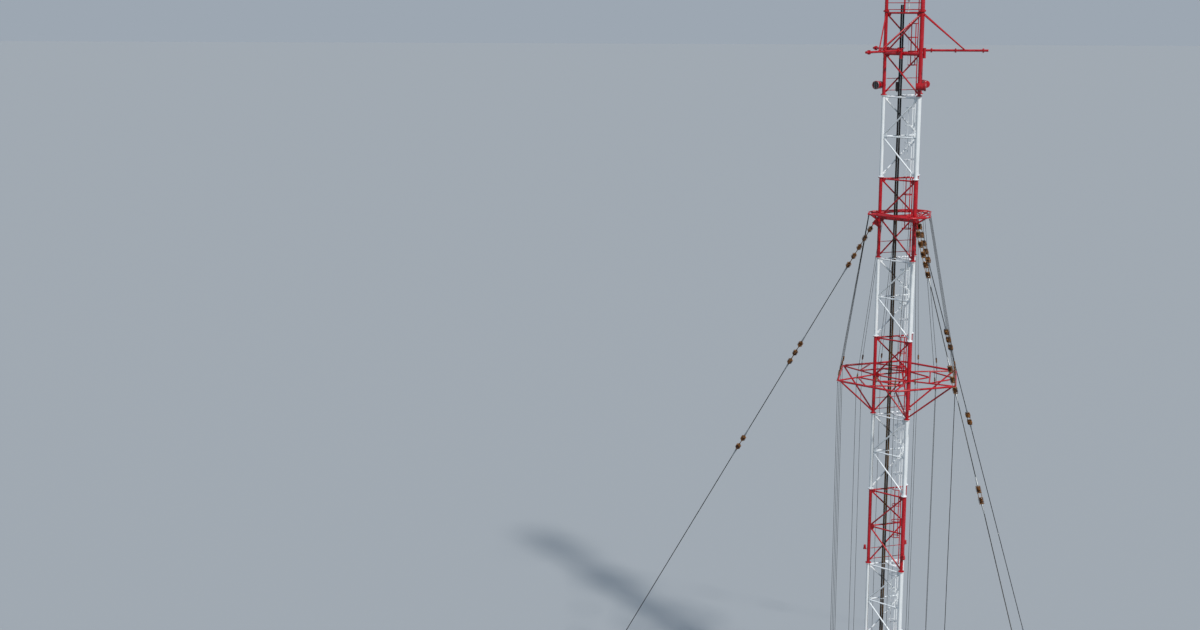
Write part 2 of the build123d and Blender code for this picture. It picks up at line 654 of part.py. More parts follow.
# Ladder, cage and rest platforms
write("ladder", ladder())
write("ladder_cage", cage())
plates, handrails = [], []
for index in REST_SECTIONS:
    level = floor_level(index)
    outline = [face_line(PLATE_INSET, 120, 0.06), face_line(PLATE_INSET, 120, 0.52), (-50.0, -60.0),
               face_line(PLATE_INSET, 0, 0.2), face_line(PLATE_INSET, 0, 0.94)]
    sockets = leg_sockets(level - 1, level + SECTION_HEIGHT)
    plates.append(plan_plate(outline, level, sockets))
    head = section_base(index) + SECTION_HEIGHT
    for azimuth in (0, 120):
        for rise in REST_RAILS:
            ends = [face_line(REST_RAIL_INSET, azimuth, share) for share in (0, 1)]
            rail = square_bar((*ends[0], head + rise), (*ends[1], head + rise), RAIL_WIDTH)
            handrails.append(cut(rail, sockets + panels_at(index - 1) + handrails[-3:]))
write("rest_platforms", plates)
write("rest_rails", handrails)

# Feeder lines, their brackets and their box, drawn on the +X side and turned to their own
feeder_low, feeder_high = BASE_Z + SECTION_HEIGHT / 6, TOP_Z + FEEDER_TOP
tube = upright(FEEDER_DIAMETER, 8, feeder_low, feeder_high, 180 / 8)
feeders = [Pos(feeder_x, FEEDER_ALONG + side * FEEDER_SPACING / 2, 0) * tube for side in (-1, 1)]
write("feeder_lines", [turned(feeder, FEEDER_SIDE) for feeder in feeders])
flat = FEEDER_DIAMETER / 2 * cos(radians(180 / 8))
reach = FEEDER_SPACING / 2 + flat
supports = [block((feeder_x + flat, FEEDER_ALONG - reach, z - FEEDER_BRACKET / 2),
                  (FACE_DISTANCE - half, FEEDER_ALONG + reach, z + FEEDER_BRACKET / 2))
            for z, half in bar_levels()]
long, wide, high = FEEDER_BOX
box_z = TOP_Z - FEEDER_BOX_DROP
supports.append(block((feeder_x - long / 2, FEEDER_ALONG + reach, box_z - high / 2),
                      (feeder_x + long / 2, FEEDER_ALONG + reach + wide, box_z + high / 2)))
write("feeder_supports", [turned(support, FEEDER_SIDE) for support in supports])

# Lamps on the legs
lamps, markers = [], []
for azimuth in LEG_AZIMUTHS:
    z = TOP_Z - LAMP_DROP
    drum = joined([bar((-LAMP_LENGTH, 0, 0), (0, 0, 0), LAMP_DIAMETER - 2 * LAMP_BEZEL_RIM, LAMP_SIDES),
                   bar((-LAMP_BEZEL, 0, 0), (0, 0, 0), LAMP_DIAMETER, LAMP_SIDES)])
    drum = Pos(LAMP_RADIUS, 0, z) * Rot(0, 0, 60) * Pos(LAMP_FORWARD, 0, 0) * drum
    arm = cut(square_bar((LEG_CIRCLE, 0, z), (LAMP_RADIUS, 0, z), LAMP_ARM),
              [leg_socket(0, 0, TOP_Z), drum])
    lamps += [turned(drum, azimuth), turned(arm, azimuth)]
    z = TOP_Z - MARKER_DROP
    reach = LEG_CIRCLE + LEG_DIAMETER / 2 + MARKER_ARM
    arm = cut(square_bar((LEG_CIRCLE, 0, z), (reach, 0, z), RAIL_WIDTH), [leg_socket(0, 0, TOP_Z)])
    seat = z + RAIL_WIDTH / 2
    lamp = Pos(reach - MARKER_DIAMETER / 2, 0, 0) * upright(MARKER_DIAMETER, 8, seat, seat + MARKER_HEIGHT)
    markers += [turned(arm, azimuth), turned(lamp, azimuth)]
write("warning_lamps", lamps + markers)

# Cage wires
wires, wire_bodies = cage_wires()
write("cage_wires", wires)
write("cage_wire_insulators", wire_bodies)

# Guys with their insulators, tensioners, lugs and anchors
ropes, bodies, links = guy_parts()
stone, anchor_plate = anchor(guy_spot(GUY_LENGTH))
lug = cut(swung(guy_lug()), [leg_socket(0, 0, TOP_Z)])
groups = {"guy_ropes": ropes, "guy_insulators": bodies, "guy_links": links,
          "guy_tensioners": tensioner() + [anchor_plate], "guy_anchors": [stone]}
for name, pieces in groups.items():
    write(name, [turned(swung(piece), azimuth) for azimuth in LEG_AZIMUTHS for piece in pieces])
write("guy_lugs", [turned(lug, azimuth) for azimuth in LEG_AZIMUTHS])

# Foot, bearing and plinth
head_z = PLINTH_HEIGHT + BEARING_HEIGHT
taper = [upright(HEAD_PLATE_DIAMETER, 12, head_z, head_z + BEARING_PLATE)]
for azimuth in LEG_AZIMUTHS:
    top = polar(LEG_CIRCLE, azimuth, BASE_Z - FLANGE_THICKNESS)
    flange = Pos(LEG_CIRCLE, 0, 0) * upright(FLANGE_DIAMETER, LEG_SIDES, BASE_Z - FLANGE_THICKNESS, BASE_Z)
    taper.append(turned(flange, azimuth))
    taper.append(bar(polar(TAPER_END_RADIUS, azimuth, head_z + BEARING_PLATE / 2), top,
                     LEG_DIAMETER, LEG_SIDES))
reach = LEG_CIRCLE + FLANGE_DIAMETER
trim = block((-reach, -reach, 0), (reach, reach, head_z))
write("foot_frame", [cut(joined(taper), [trim])])
bearing = [upright(HEAD_PLATE_DIAMETER, 12, PLINTH_HEIGHT, PLINTH_HEIGHT + BEARING_PLATE),
           upright(BEARING_DIAMETER, 12, PLINTH_HEIGHT + BEARING_PLATE, head_z)]
write("foot_bearing", [joined(bearing)])
half = PLINTH_WIDTH / 2
base = block((-half, -half, 0), (half, half, PLINTH_HEIGHT))
top_edges = base.edges().filter_by(Plane.XY).group_by(Axis.Z)[-1]
write("plinth", [chamfer(top_edges, PLINTH_CHAMFER)])
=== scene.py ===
# %% [markdown]
# # A guyed radio mast in red and white
# The real mast is a three-legged lattice of steel tube, held up by three guys. This script
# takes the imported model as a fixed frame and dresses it: it never moves a part of the frame,
# it only makes finer pieces in the same places. Everything here is in metres at half the
# real size, because the model is made at 1:2.

# %% Load the frame
from math import atan2, cos, degrees, hypot, pi, radians, sin, sqrt

import bpy
import numpy as np
from mathutils import Matrix


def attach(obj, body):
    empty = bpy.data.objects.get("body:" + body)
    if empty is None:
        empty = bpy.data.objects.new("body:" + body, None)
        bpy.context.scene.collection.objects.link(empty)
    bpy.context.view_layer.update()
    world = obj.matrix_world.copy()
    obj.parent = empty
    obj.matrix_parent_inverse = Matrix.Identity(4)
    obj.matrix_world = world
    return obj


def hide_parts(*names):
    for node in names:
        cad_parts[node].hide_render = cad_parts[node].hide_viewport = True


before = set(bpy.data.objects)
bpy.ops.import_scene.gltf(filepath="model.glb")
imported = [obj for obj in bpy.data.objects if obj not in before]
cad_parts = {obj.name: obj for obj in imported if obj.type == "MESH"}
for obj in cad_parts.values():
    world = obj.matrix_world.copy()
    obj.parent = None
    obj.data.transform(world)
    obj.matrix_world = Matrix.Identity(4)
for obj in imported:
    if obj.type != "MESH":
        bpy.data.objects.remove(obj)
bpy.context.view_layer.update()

print("nodes", len(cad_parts))

# %% [markdown]
# ## Sizes that the pieces share
# The frame's boxes say where each node is, but a finer piece also needs the sizes inside it,
# such as how far a bar stands from its leg. They are the same sizes as the model's own, turned
# to metres, and each is written once.

# %% Sizes of the lattice
SECTIONS = 9
SECTION = 3.0
FACE = 1.48
LEG_RADIUS = 0.0625
FLANGE_RADIUS = 0.1075
FLANGE = 0.030
THIN_FLANGE = 0.014
BRACE_RADIUS = 0.029
BEAM_RADIUS = 0.061
HEAVY = (0, 2)             # sections with a ring beam, counted from 0 at the top
REST = (1, 3, 5, 7)        # sections with a rest platform at their head
NODE_INSET = 0.060
BASE_Z = 2.14
TOP_Z = BASE_Z + SECTIONS * SECTION
LEG_CIRCLE = FACE / sqrt(3)
SIDE = LEG_CIRCLE / 2
TOP_POST = 0.55
RING_Z = TOP_Z - 2.5 * SECTION + 0.15
RING_REACH, RING_HALF = 1.245, 0.400
STAR_LEVELS = (TOP_Z - 4.5 * SECTION, TOP_Z - 8.5 * SECTION)
STAR_RADIUS = 2.475
STAR_REACH, STAR_HALF = STAR_RADIUS * cos(pi / 6), STAR_RADIUS / 2
RING_RIM, STAR_RIM = 0.037, 0.038
LEG_TURNS = (60.0, 180.0, 300.0)
SIDE_TURNS = (0.0, 120.0, 240.0)
UP = np.array([0.0, 0.0, 1.0])


def section_base(index):
    """Height of the lower end of a section, counted from 0 at the top."""
    return TOP_Z - (index + 1) * SECTION


def floor_level(index):
    """Top of the level tubes at the head of a section, where a floor lies."""
    return section_base(index) + SECTION - NODE_INSET + 0.027


def level_tubes():
    """Section number, height and radius of each level tube of a side."""
    for number in range(SECTIONS):
        yield number, section_base(number) + SECTION - NODE_INSET, BRACE_RADIUS
        radius = BEAM_RADIUS if number in HEAVY else BRACE_RADIUS
        yield number, section_base(number) + SECTION / 2, radius


print("top platform at", round(TOP_Z, 3), "m")

# %% [markdown]
# ## The camera
# The photo was taken from the air, a little above the top platform. Its viewpoint was worked
# out from the section joints, whose spacing is known, so the render can be laid beside the
# photo. It could be set by eye, but a fit to points of known spacing also gives the mast's
# proportions. The camera looks 11.0 degrees to the left of the mast and 11.6 degrees down.

# %% Camera
FOCAL_MM = 47.06
CAMERA_PLACE = (1.868, -58.569, TOP_Z + 0.634)
HEADING, PITCH, ROLL = radians(12.858), radians(11.557), radians(-0.171)

camera_data = bpy.data.cameras.new("photo_camera")
camera_data.lens, camera_data.sensor_width = FOCAL_MM, 36.0
camera_data.clip_end = 3000.0
camera = bpy.data.objects.new("photo_camera", camera_data)
camera.matrix_world = (Matrix.Translation(CAMERA_PLACE) @ Matrix.Rotation(HEADING, 4, "Z")
                       @ Matrix.Rotation(pi / 2 - PITCH, 4, "X") @ Matrix.Rotation(ROLL, 4, "Z"))
bpy.context.scene.collection.objects.link(camera)
bpy.context.scene.camera = camera
bpy.context.scene.view_settings.view_transform = "Standard"

# %% [markdown]
# ## Colour and node helpers
# Paint cards give colours as sRGB hex values, but a renderer mixes light in linear values, so
# one function turns the one into the other. A second small function adds a node with its
# settings and links, which keeps each material readable as a short list.

# %% Colour and node helpers


def linear(hex_colour):
    """Linear RGBA of an sRGB hex colour: c/12.92 below 0.04045, else ((c+0.055)/1.055)^2.4."""
    parts = [int(hex_colour[k:k + 2], 16) / 255 for k in (1, 3, 5)]
    return tuple(c / 12.92 if c <= 0.04045 else ((c + 0.055) / 1.055) ** 2.4 for c in parts) + (1.0,)


def add(tree, kind, settings=None, **links):
    """Adds a node, sets its fields and its input values, and links sockets into its inputs."""
    node = tree.nodes.new(kind)
    for key, value in (settings or {}).items():
        if isinstance(key, str) and hasattr(node, key):
            setattr(node, key, value)
        else:
            node.inputs[key].default_value = value
    for key, socket in links.items():
        name = key.replace("_", " ")
        target = node.inputs[int(key[1:]) if key[1:].isdigit() else name]
        tree.links.new(socket, target)
    return node


def new_material(name):
    """Empty node material and its output node."""
    material = bpy.data.materials.new(name)
    material.use_nodes = True
    material.node_tree.nodes.clear()
    return material, material.node_tree


# %% Textures in metres


def object_place(tree, scale=(1.0, 1.0, 1.0)):
    """Object coordinates, stretched by a scale given in cycles for each metre."""
    place = add(tree, "ShaderNodeTexCoord")
    stretch = add(tree, "ShaderNodeMapping", {"Scale": scale}, Vector=place.outputs["Object"])
    return stretch.outputs["Vector"]


def noise(tree, scale, detail=3.0, rough=0.55):
    """Noise on Object coordinates; scale is in cycles for each metre along X, Y and Z."""
    node = add(tree, "ShaderNodeTexNoise", {"Scale": 1.0, "Detail": detail, "Roughness": rough},
               Vector=object_place(tree, scale))
    return node.outputs["Fac"]


def ramp(tree, value, low, high, smooth=True):
    """Share of the way from low to high, held to 0 to 1: (value - low) / (high - low)."""
    node = add(tree, "ShaderNodeMapRange",
               {"interpolation_type": "SMOOTHSTEP" if smooth else "LINEAR",
                "From Min": low, "From Max": high}, Value=value)
    return node.outputs["Result"]


def spread(tree, share, low, high):
    """Value at a share of the way from low to high: low + (high - low) share."""
    return add(tree, "ShaderNodeMapRange", {"To Min": low, "To Max": high}, Value=share).outputs["Result"]


def combine(tree, operation, first, second):
    """Two values multiplied, or the larger of them; the second may be a plain number."""
    if isinstance(second, float):
        return add(tree, "ShaderNodeMath", {"operation": operation, 1: second}, i0=first).outputs[0]
    return add(tree, "ShaderNodeMath", {"operation": operation}, i0=first, i1=second).outputs[0]


def height_of(tree, space):
    """The Z of a coordinate space."""
    place = add(tree, "ShaderNodeTexCoord").outputs[space]
    return add(tree, "ShaderNodeSeparateXYZ", None, Vector=place).outputs["Z"]


# %% Mixing colours and ending a material


def blend(tree, factor, first, second):
    """Mixes two colours, first (1 - f) + second f; each is a socket or a hex value."""
    node = add(tree, "ShaderNodeMix", {"data_type": "RGBA"})
    for socket, value in ((node.inputs[6], first), (node.inputs[7], second)):
        if isinstance(value, str):
            socket.default_value = linear(value)
        else:
            tree.links.new(value, socket)
    tree.links.new(factor, node.inputs[0])
    return node.outputs[2]


def finish(tree, colour, rough, bump=None, bump_mm=0.5, **fixed):
    """Ends a material in a Principled shader. Colour and roughness are sockets or plain values."""
    shader = add(tree, "ShaderNodeBsdfPrincipled", {k.replace("_", " "): v for k, v in fixed.items()})
    for name, value in (("Base Color", colour), ("Roughness", rough)):
        if isinstance(value, bpy.types.NodeSocket):
            tree.links.new(value, shader.inputs[name])
        else:
            shader.inputs[name].default_value = value
    if bump is not None:
        relief = add(tree, "ShaderNodeBump", {"Strength": 0.6, "Distance": bump_mm / 1000}, Height=bump)
        tree.links.new(relief.outputs["Normal"], shader.inputs["Normal"])
    output = add(tree, "ShaderNodeOutputMaterial")
    tree.links.new(shader.outputs["BSDF"], output.inputs["Surface"])


# %% [markdown]
# ## Weathered mast paint
# Aviation bands are brushed-on alkyd paint over galvanised tube. It is satin, not glossy, and
# years of sun chalk it in broad patches. Rain draws dirt down the tubes in long thin streaks,
# and small chips show the rusty steel. One flat colour would look like plastic, and a painted
# picture would need every tube unwrapped. Noise on the piece's own coordinates needs no
# unwrapping and keeps its size in metres on every tube.

# %% Mast paint
PATCH = 3.0       # fading patches about 0.3 m across
STREAK = (28.0, 28.0, 1.6)     # streaks 35 mm apart and 0.6 m long
CHIP = 46.0       # chips some 10 mm across
BRUSH = (420.0, 420.0, 60.0)   # brush marks 2.4 mm apart


def mast_paint(name, colour, faded, grime, chipped="#5B3A2C", chips=0.70, streaky=0.45):
    """Satin alkyd paint with chalked patches, rain streaks and rusty chips."""
    material, tree = new_material(name)
    patches = ramp(tree, noise(tree, (PATCH,) * 3), 0.42, 0.66)
    streaks = ramp(tree, noise(tree, STREAK, 4.0, 0.6), 0.52, 0.78)
    spots = ramp(tree, noise(tree, (CHIP,) * 3, 4.0, 0.6), chips, chips + 0.025)
    painted = blend(tree, patches, colour, faded)
    stained = blend(tree, combine(tree, "MULTIPLY", streaks, streaky), painted, grime)
    shown = blend(tree, spots, stained, chipped)
    finish(tree, shown, spread(tree, patches, 0.24, 0.42), noise(tree, BRUSH, 2.0), 0.25,
           Specular_IOR_Level=0.5)
    return material


# A finish is a material and the slot that it stands for
RED = mast_paint("alkyd_paint_signal_red", "#B00615", "#BA1A28", "#4E080E"), "red_paint"
WHITE = (mast_paint("alkyd_paint_white", "#EBEFF2", "#E3E8EB", "#B0B4B2", "#8A5B3E", streaky=0.3),
         "white_paint")
BANDS = (RED, WHITE)
LAMP_RED = mast_paint("enamel_lamp_red", "#A50A14", "#B01C26", "#38090D", chips=0.76), "lamp_red"
GREY_BOX = (mast_paint("polyester_coat_light_grey", "#D7DADA", "#C6CACB", "#8C8F8E", chips=0.8),
            "white_paint")
print("paints ready")

# %% [markdown]
# ## Glazed ceramic, steel, rope, sheath and concrete
# The strain insulators are brown-glazed porcelain, glossy under a film of dust and rust water.
# Their yokes are cast and forged steel gone dark. The guys are spun galvanised wire, grey-black
# with grease. The feeders have a black polyethylene sheath, chalked by the sun. The plinth and
# the anchors are cast concrete with a fine grain. Each could be a material built by hand, but
# they are alike in kind: one noise wanders between two colours and two roughnesses, because dust
# and wear change colour and gloss together. So one recipe with other numbers makes them all but
# the sheath, which also has rust water from its clamps on it.

# %% Other finishes


def two_tone(name, first, second, cells, limits, rough, bump_cells=None, bump_mm=0.3, **fixed):
    """A finish that wanders between two colours at a given scale, with even roughness limits."""
    material, tree = new_material(name)
    share = ramp(tree, noise(tree, cells, 4.0, 0.6), *limits)
    relief = noise(tree, (bump_cells,) * 3, 3.0) if bump_cells else None
    finish(tree, blend(tree, share, first, second), spread(tree, share, *rough), relief, bump_mm, **fixed)
    return material


brown_glaze = two_tone("glazed_porcelain_brown", "#44250F", "#96642A", (9.0, 9.0, 14.0), (0.40, 0.62),
                       (0.16, 0.5), 60.0, 0.15, Specular_IOR_Level=0.6)
PORCELAIN, SMALL_PORCELAIN = (brown_glaze, "brown_ceramic"), (brown_glaze, "wire_insulator")
FORGED = two_tone("forged_steel_dark", "#262120", "#4C3222", (22.0,) * 3, (0.50, 0.74), (0.45, 0.8),
                  240.0, 0.3, Metallic=0.25), "dark_steel"
RUSTY = two_tone("weathered_steel_brown", "#4A2E16", "#8E622C", (26.0,) * 3, (0.40, 0.64), (0.5, 0.85),
                 240.0, 0.3, Metallic=0.15), "dark_steel"
ZINC = two_tone("hot_dip_zinc", "#8C9194", "#A9ADAE", (34.0,) * 3, (0.4, 0.62), (0.38, 0.55),
                300.0, 0.12, Metallic=0.85), "galvanised_steel"
WIRE_ROPE = two_tone("spun_steel_wire_greased", "#1E1F1C", "#3C3B35", (40.0, 40.0, 9.0), (0.45, 0.7),
                     (0.45, 0.65), 500.0, 0.2, Metallic=0.3), "wire_steel"
CONCRETE = two_tone("cast_concrete", "#A9A69C", "#8B887E", (4.0,) * 3, (0.4, 0.68), (0.85, 0.95),
                    170.0, 1.2), "concrete"
LENS = two_tone("lamp_glass_dark", "#180507", "#2A0A0C", (12.0,) * 3, (0.4, 0.6), (0.06, 0.12),
                Coat_Weight=0.6), "lamp_red"


def rusted_sheath(name):
    """Black sheath on which rust water from the clamps has dried, more of it further down."""
    material, tree = new_material(name)
    depth = ramp(tree, height_of(tree, "Object"), TOP_Z - 4.0, TOP_Z - 12.0, False)
    runs = ramp(tree, noise(tree, (9.0, 9.0, 1.1), 4.0, 0.6), 0.34, 0.62)
    share = combine(tree, "MULTIPLY", depth, runs)
    chalk = ramp(tree, noise(tree, (7.0, 7.0, 1.2), 4.0, 0.6), 0.48, 0.74)
    bare = blend(tree, chalk, "#0B0B0C", "#181615")
    finish(tree, blend(tree, share, bare, "#5E4420"), spread(tree, share, 0.42, 0.78),
           noise(tree, (180.0,) * 3), 0.2, Specular_IOR_Level=0.35)
    return material


SHEATH = rusted_sheath("polyethylene_sheath_black"), "feeder_sheath"
print("finishes", len(bpy.data.materials))

# %% [markdown]
# ## Shapes as arrays
# Nearly everything on a lattice mast is a bar between two points, so one function makes all the
# bars of a piece at once: rings of points along the way from start to end, with a radius for each
# ring. Flanges, collars, cones and rounded ends are only more rings. Flat plates are an outline
# pushed through a thickness. Blender's own cylinders could do it too, but there are thousands of
# bars and bolts. Shapes kept as plain arrays can be copied, turned round the mast and joined
# before Blender sees them.

# %% Shape helpers
MIRROR = np.array([1.0, -1.0, 1.0])
SHARP = radians(35)        # edges sharper than this stay crisp


def rows(values):
    """Points or directions as an array with a row for each; one alone needs no list round it."""
    return np.asarray(values, float).reshape(-1, 3)


def unit(vector):
    """The same direction with length 1."""
    return vector / np.linalg.norm(vector, axis=-1, keepdims=True)


def point(radius, turn, z=0.0):
    """Point at a distance from the mast axis, on a plan angle in degrees from +X."""
    return np.array([radius * cos(radians(turn)), radius * sin(radians(turn)), z])


def shape(points, faces):
    """A shape is an array of points and a list of face arrays, one for each number of corners."""
    return {"points": rows(points), "faces": faces}


def together(*shapes):
    """Joins shapes: the faces of each count on from the points of those before it."""
    points, faces, start = [], [], 0
    for one in shapes:
        points.append(one["points"])
        faces += [corners + start for corners in one["faces"]]
        start += len(one["points"])
    return shape(np.concatenate(points), faces)


def moved(one, shift):
    """The same shape, shifted without a turn."""
    return shape(one["points"] + shift, one["faces"])


def turned(one, degrees_z):
    """Turns a shape about the mast axis: x' = x cos a - y sin a, y' = x sin a + y cos a."""
    a = radians(degrees_z)
    turn = np.array([[cos(a), -sin(a), 0], [sin(a), cos(a), 0], [0, 0, 1]])
    return shape(one["points"] @ turn.T, one["faces"])


def at_sides(*shapes):
    """The same shapes at each side of the mast."""
    return together(*(turned(one, turn) for turn in SIDE_TURNS for one in shapes))


def at_legs(*shapes):
    """The same shapes at each leg."""
    return together(*(turned(one, turn) for turn in LEG_TURNS for one in shapes))


# %% Bars


def directions(starts, ends):
    """Unit direction of each bar, with two directions square to it, the first one level."""
    way = ends - starts
    length = np.linalg.norm(way, axis=1, keepdims=True)
    way = way / length
    level = np.cross(way, UP)
    size = np.linalg.norm(level, axis=1, keepdims=True)
    level = np.where(size > 1e-6, level / np.maximum(size, 1e-9), [1.0, 0.0, 0.0])
    return way, length, level, np.cross(level, way)


def bars(starts, ends, rings, sides=14):
    """Bars from starts to ends. Ring k lies at share s of the length plus d metres from the start
    and has radius r: P = start + way (s L + d) + r (cos a level + sin a rise)."""
    starts, ends = rows(starts), rows(ends)
    way, length, level, rise = directions(starts, ends)
    share, shift, radius = np.array(rings, float).T
    k = np.arange(sides)
    a = k * 2 * pi / sides
    along = (share * length + shift)[:, :, None, None] * way[:, None, None, :]
    rim = np.cos(a)[:, None] * level[:, None, :] + np.sin(a)[:, None] * rise[:, None, :]
    points = starts[:, None, None, :] + along + radius[:, None, None] * rim[:, None]
    first = np.arange(len(starts))[:, None, None] * len(rings) * sides
    base = first + np.arange(len(rings) - 1)[:, None] * sides
    after = (k + 1) % sides
    quads = np.stack([base + k, base + k + sides, base + after + sides, base + after], -1)
    low = first[:, 0] + k
    return shape(points, [quads.reshape(-1, 4), low, low[:, ::-1] + (len(rings) - 1) * sides])


def upright(place, low, high, rings, sides=24):
    """Bar that stands at a plan point, from one height to another."""
    return bars((*place, low), (*place, high), rings, sides)


def from_start(*outline):
    """Rings of a turned outline, each given as metres from the start and a radius."""
    return [(0, shift, radius) for shift, radius in outline]


def from_end(*outline):
    """Rings of a turned outline that is given from the end of the bar."""
    return [(1, -shift, radius) for shift, radius in reversed(outline)]


def both_ends(*outline):
    """Rings of a bar that has the same outline at both ends."""
    return from_start(*outline) + from_end(*outline)


def plain(radius, ease):
    """Rings of a plain round bar with its edges eased."""
    return both_ends((0, radius - ease), (ease, radius))


def cuff(place, z, half, inner, outer, sides, ease=0.002):
    """Clamp round an upright tube, with its middle at height z."""
    return upright(place, z - half, z + half, both_ends((0, inner), (ease, outer)), sides)


# %% Flat plates


def plates(outline, origins, x_ways, y_ways, thickness):
    """Flat plates: an outline in (x, y) put at each origin and given a thickness across it,
    P = origin + x X + y Y +- t/2 (X x Y)."""
    outline = np.asarray(outline, float)
    origins, x_ways, y_ways = rows(origins), rows(x_ways), rows(y_ways)
    flat = (origins[:, None, :] + outline[None, :, :1] * x_ways[:, None, :]
            + outline[None, :, 1:] * y_ways[:, None, :])
    shift = thickness / 2 * np.cross(x_ways, y_ways)[:, None, :]
    corners = len(outline)
    start = np.arange(len(origins))[:, None] * 2 * corners
    k = np.arange(corners)
    after = (k + 1) % corners
    rims = np.stack([start + k, start + after, start + after + corners, start + k + corners], -1)
    return shape(np.stack([flat - shift, flat + shift], 1),
                 [rims.reshape(-1, 4), (start + k)[:, ::-1], start + corners + k])


def boxes(centres, x_ways, y_ways, sizes):
    """Boxes round centres, with sizes along two given ways and across them."""
    long, wide, thick = sizes
    outline = [(-long / 2, -wide / 2), (long / 2, -wide / 2), (long / 2, wide / 2), (-long / 2, wide / 2)]
    return plates(outline, centres, x_ways, y_ways, thick)


def box(centre, sizes):
    """Box with its sizes along X, Y and Z."""
    return boxes(centre, (1, 0, 0), (0, 1, 0), sizes)


def wall(outline, thickness):
    """Plate that stands in the plane through the mast axis, its outline given in X and Z."""
    return plates(outline, (0, 0, 0), (1, 0, 0), UP, thickness)


# %% From arrays to Blender


def put(name, one, finished, *nodes):
    """Makes the mesh of a shape or a list of shapes, rides it on the mast and hides the nodes it
    stands for."""
    material, slot = finished
    one = together(*one) if isinstance(one, list) else one
    faces = [face for corners in one["faces"] for face in corners.tolist()]
    mesh = bpy.data.meshes.new(name)
    mesh.from_pydata(one["points"].tolist(), [], faces)
    mesh.validate()
    mesh.shade_smooth()
    mesh.set_sharp_from_angle(angle=SHARP)
    mesh.materials.append(material)
    piece = bpy.data.objects.new(name, mesh)
    bpy.context.scene.collection.objects.link(piece)
    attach(piece, "root")
    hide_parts(*nodes)
    print(f"{name}: {sum(len(face) - 2 for face in faces)} triangles")


# %% [markdown]
# ## Bolts
# Masts are bolted together on site. A bolt is a hexagonal head or nut, a washer under it and the
# end of the thread above it. They could be scattered copies of one mesh. Here they join the
# arrays of the part that they hold, so that each piece stays one mesh. Each bolt is only a few
# dozen faces, because there are so many.

# %% Bolts
BOLT = 0.0085      # half the width of an M20 nut across its corners, at half size
WASHER = 0.002


def bolts(places, ways, radius=BOLT, height=0.009):
    """Hexagonal nuts standing on a face at each place, pointing along each way."""
    places = rows(places)
    ways = np.broadcast_to(np.asarray(ways, float), places.shape)
    seat, tip = places + ways * WASHER, places + ways * height
    washer = bars(places, seat, both_ends((0, radius * 1.25)), 8)
    nut = bars(seat, seat + ways * height, [(0, 0, radius), (0.8, 0, radius), (1, 0, radius * 0.85)], 6)
    thread = bars(tip, tip + ways * 0.006, [(0, 0, radius * 0.5), (1, 0, radius * 0.45)], 6)
    return together(washer, nut, thread)


def circle(centre, radius, count, z, offset=0.0):
    """Points on a level circle round a centre c: x = cx + r cos a, y = cy + r sin a."""
    a = np.arange(count) * 2 * pi / count + radians(offset)
    return np.stack([centre[0] + radius * np.cos(a), centre[1] + radius * np.sin(a),
                     np.full(count, z)], 1)


# %% [markdown]
# ## Legs
# A leg is a thick round tube with a thick flange at its foot and a thin one at its head. The
# flange of one section sits on the flange of the next, held by a ring of bolts. Discs set
# against a cylinder would show no weld and no eased edge. Here the tube, the weld's fillet and
# the flange are one turned outline, so a single call of bars makes them.

# %% Legs
FLANGE_BOLTS = 12
BOLT_CIRCLE = 0.086
WELD = 0.007
FLANGE_EASE = 0.0025
LEG = (LEG_CIRCLE, 0)


def disc(thick):
    """Outline of a flange with eased edges and the weld's fillet behind it."""
    inner = FLANGE_RADIUS - FLANGE_EASE
    return [(0, inner), (FLANGE_EASE, FLANGE_RADIUS), (thick - FLANGE_EASE, FLANGE_RADIUS),
            (thick, inner), (thick, LEG_RADIUS + WELD), (thick + WELD, LEG_RADIUS)]


def leg(low, high, flanged=True):
    """Leg tube over the +X leg place with flanges, fillet welds and bolts."""
    head = disc(THIN_FLANGE) if flanged else [(0, LEG_RADIUS - 0.004), (0.004, LEG_RADIUS)]
    pieces = [upright(LEG, low, high, from_start(*disc(FLANGE)) + from_end(*head), 28),
              bolts(circle(LEG, BOLT_CIRCLE, FLANGE_BOLTS, low + FLANGE), UP)]
    if flanged:
        pieces.append(bolts(circle(LEG, BOLT_CIRCLE, FLANGE_BOLTS, high - THIN_FLANGE), -UP))
    return together(*pieces)


for number in range(SECTIONS):
    low = section_base(number)
    put(f"legs_{number + 1}", at_legs(leg(low, low + SECTION)), BANDS[number % 2],
        f"section_{number + 1}_legs")
put("posts", at_legs(leg(TOP_Z, TOP_Z + TOP_POST, flanged=False)), RED, "top_posts")

# %% [markdown]
# ## Tubes with bolted tongues
# The lattice tubes are not welded to the legs. Their ends are drawn down to a flat tongue that is
# bolted to both faces of a plate on the leg, so the mast can be put together in the air. A
# squeezed end could be modelled by moving points, but three narrowing rings and a flat box over
# each face give the same outline with few faces. The same tube serves the braced sides, the guy
# ring, the outriggers and the struts of the booms.

# %% Tubes with bolted tongues
PLATE, TONGUE = 0.010, 0.009            # thicknesses
TONGUE_WIDTH = 0.06                     # at most
TONGUE_MIDDLE, TONGUE_BOLTS = 0.55, (-0.23, 0.23)    # shares of its length
SHOULDER = ((0.7, 0.35), (1.0, 0.8), (1.3, 1.0))     # shares of its length and of the radius
BULGE = 2.2                             # radians between two arms that make a plate's edge bulge


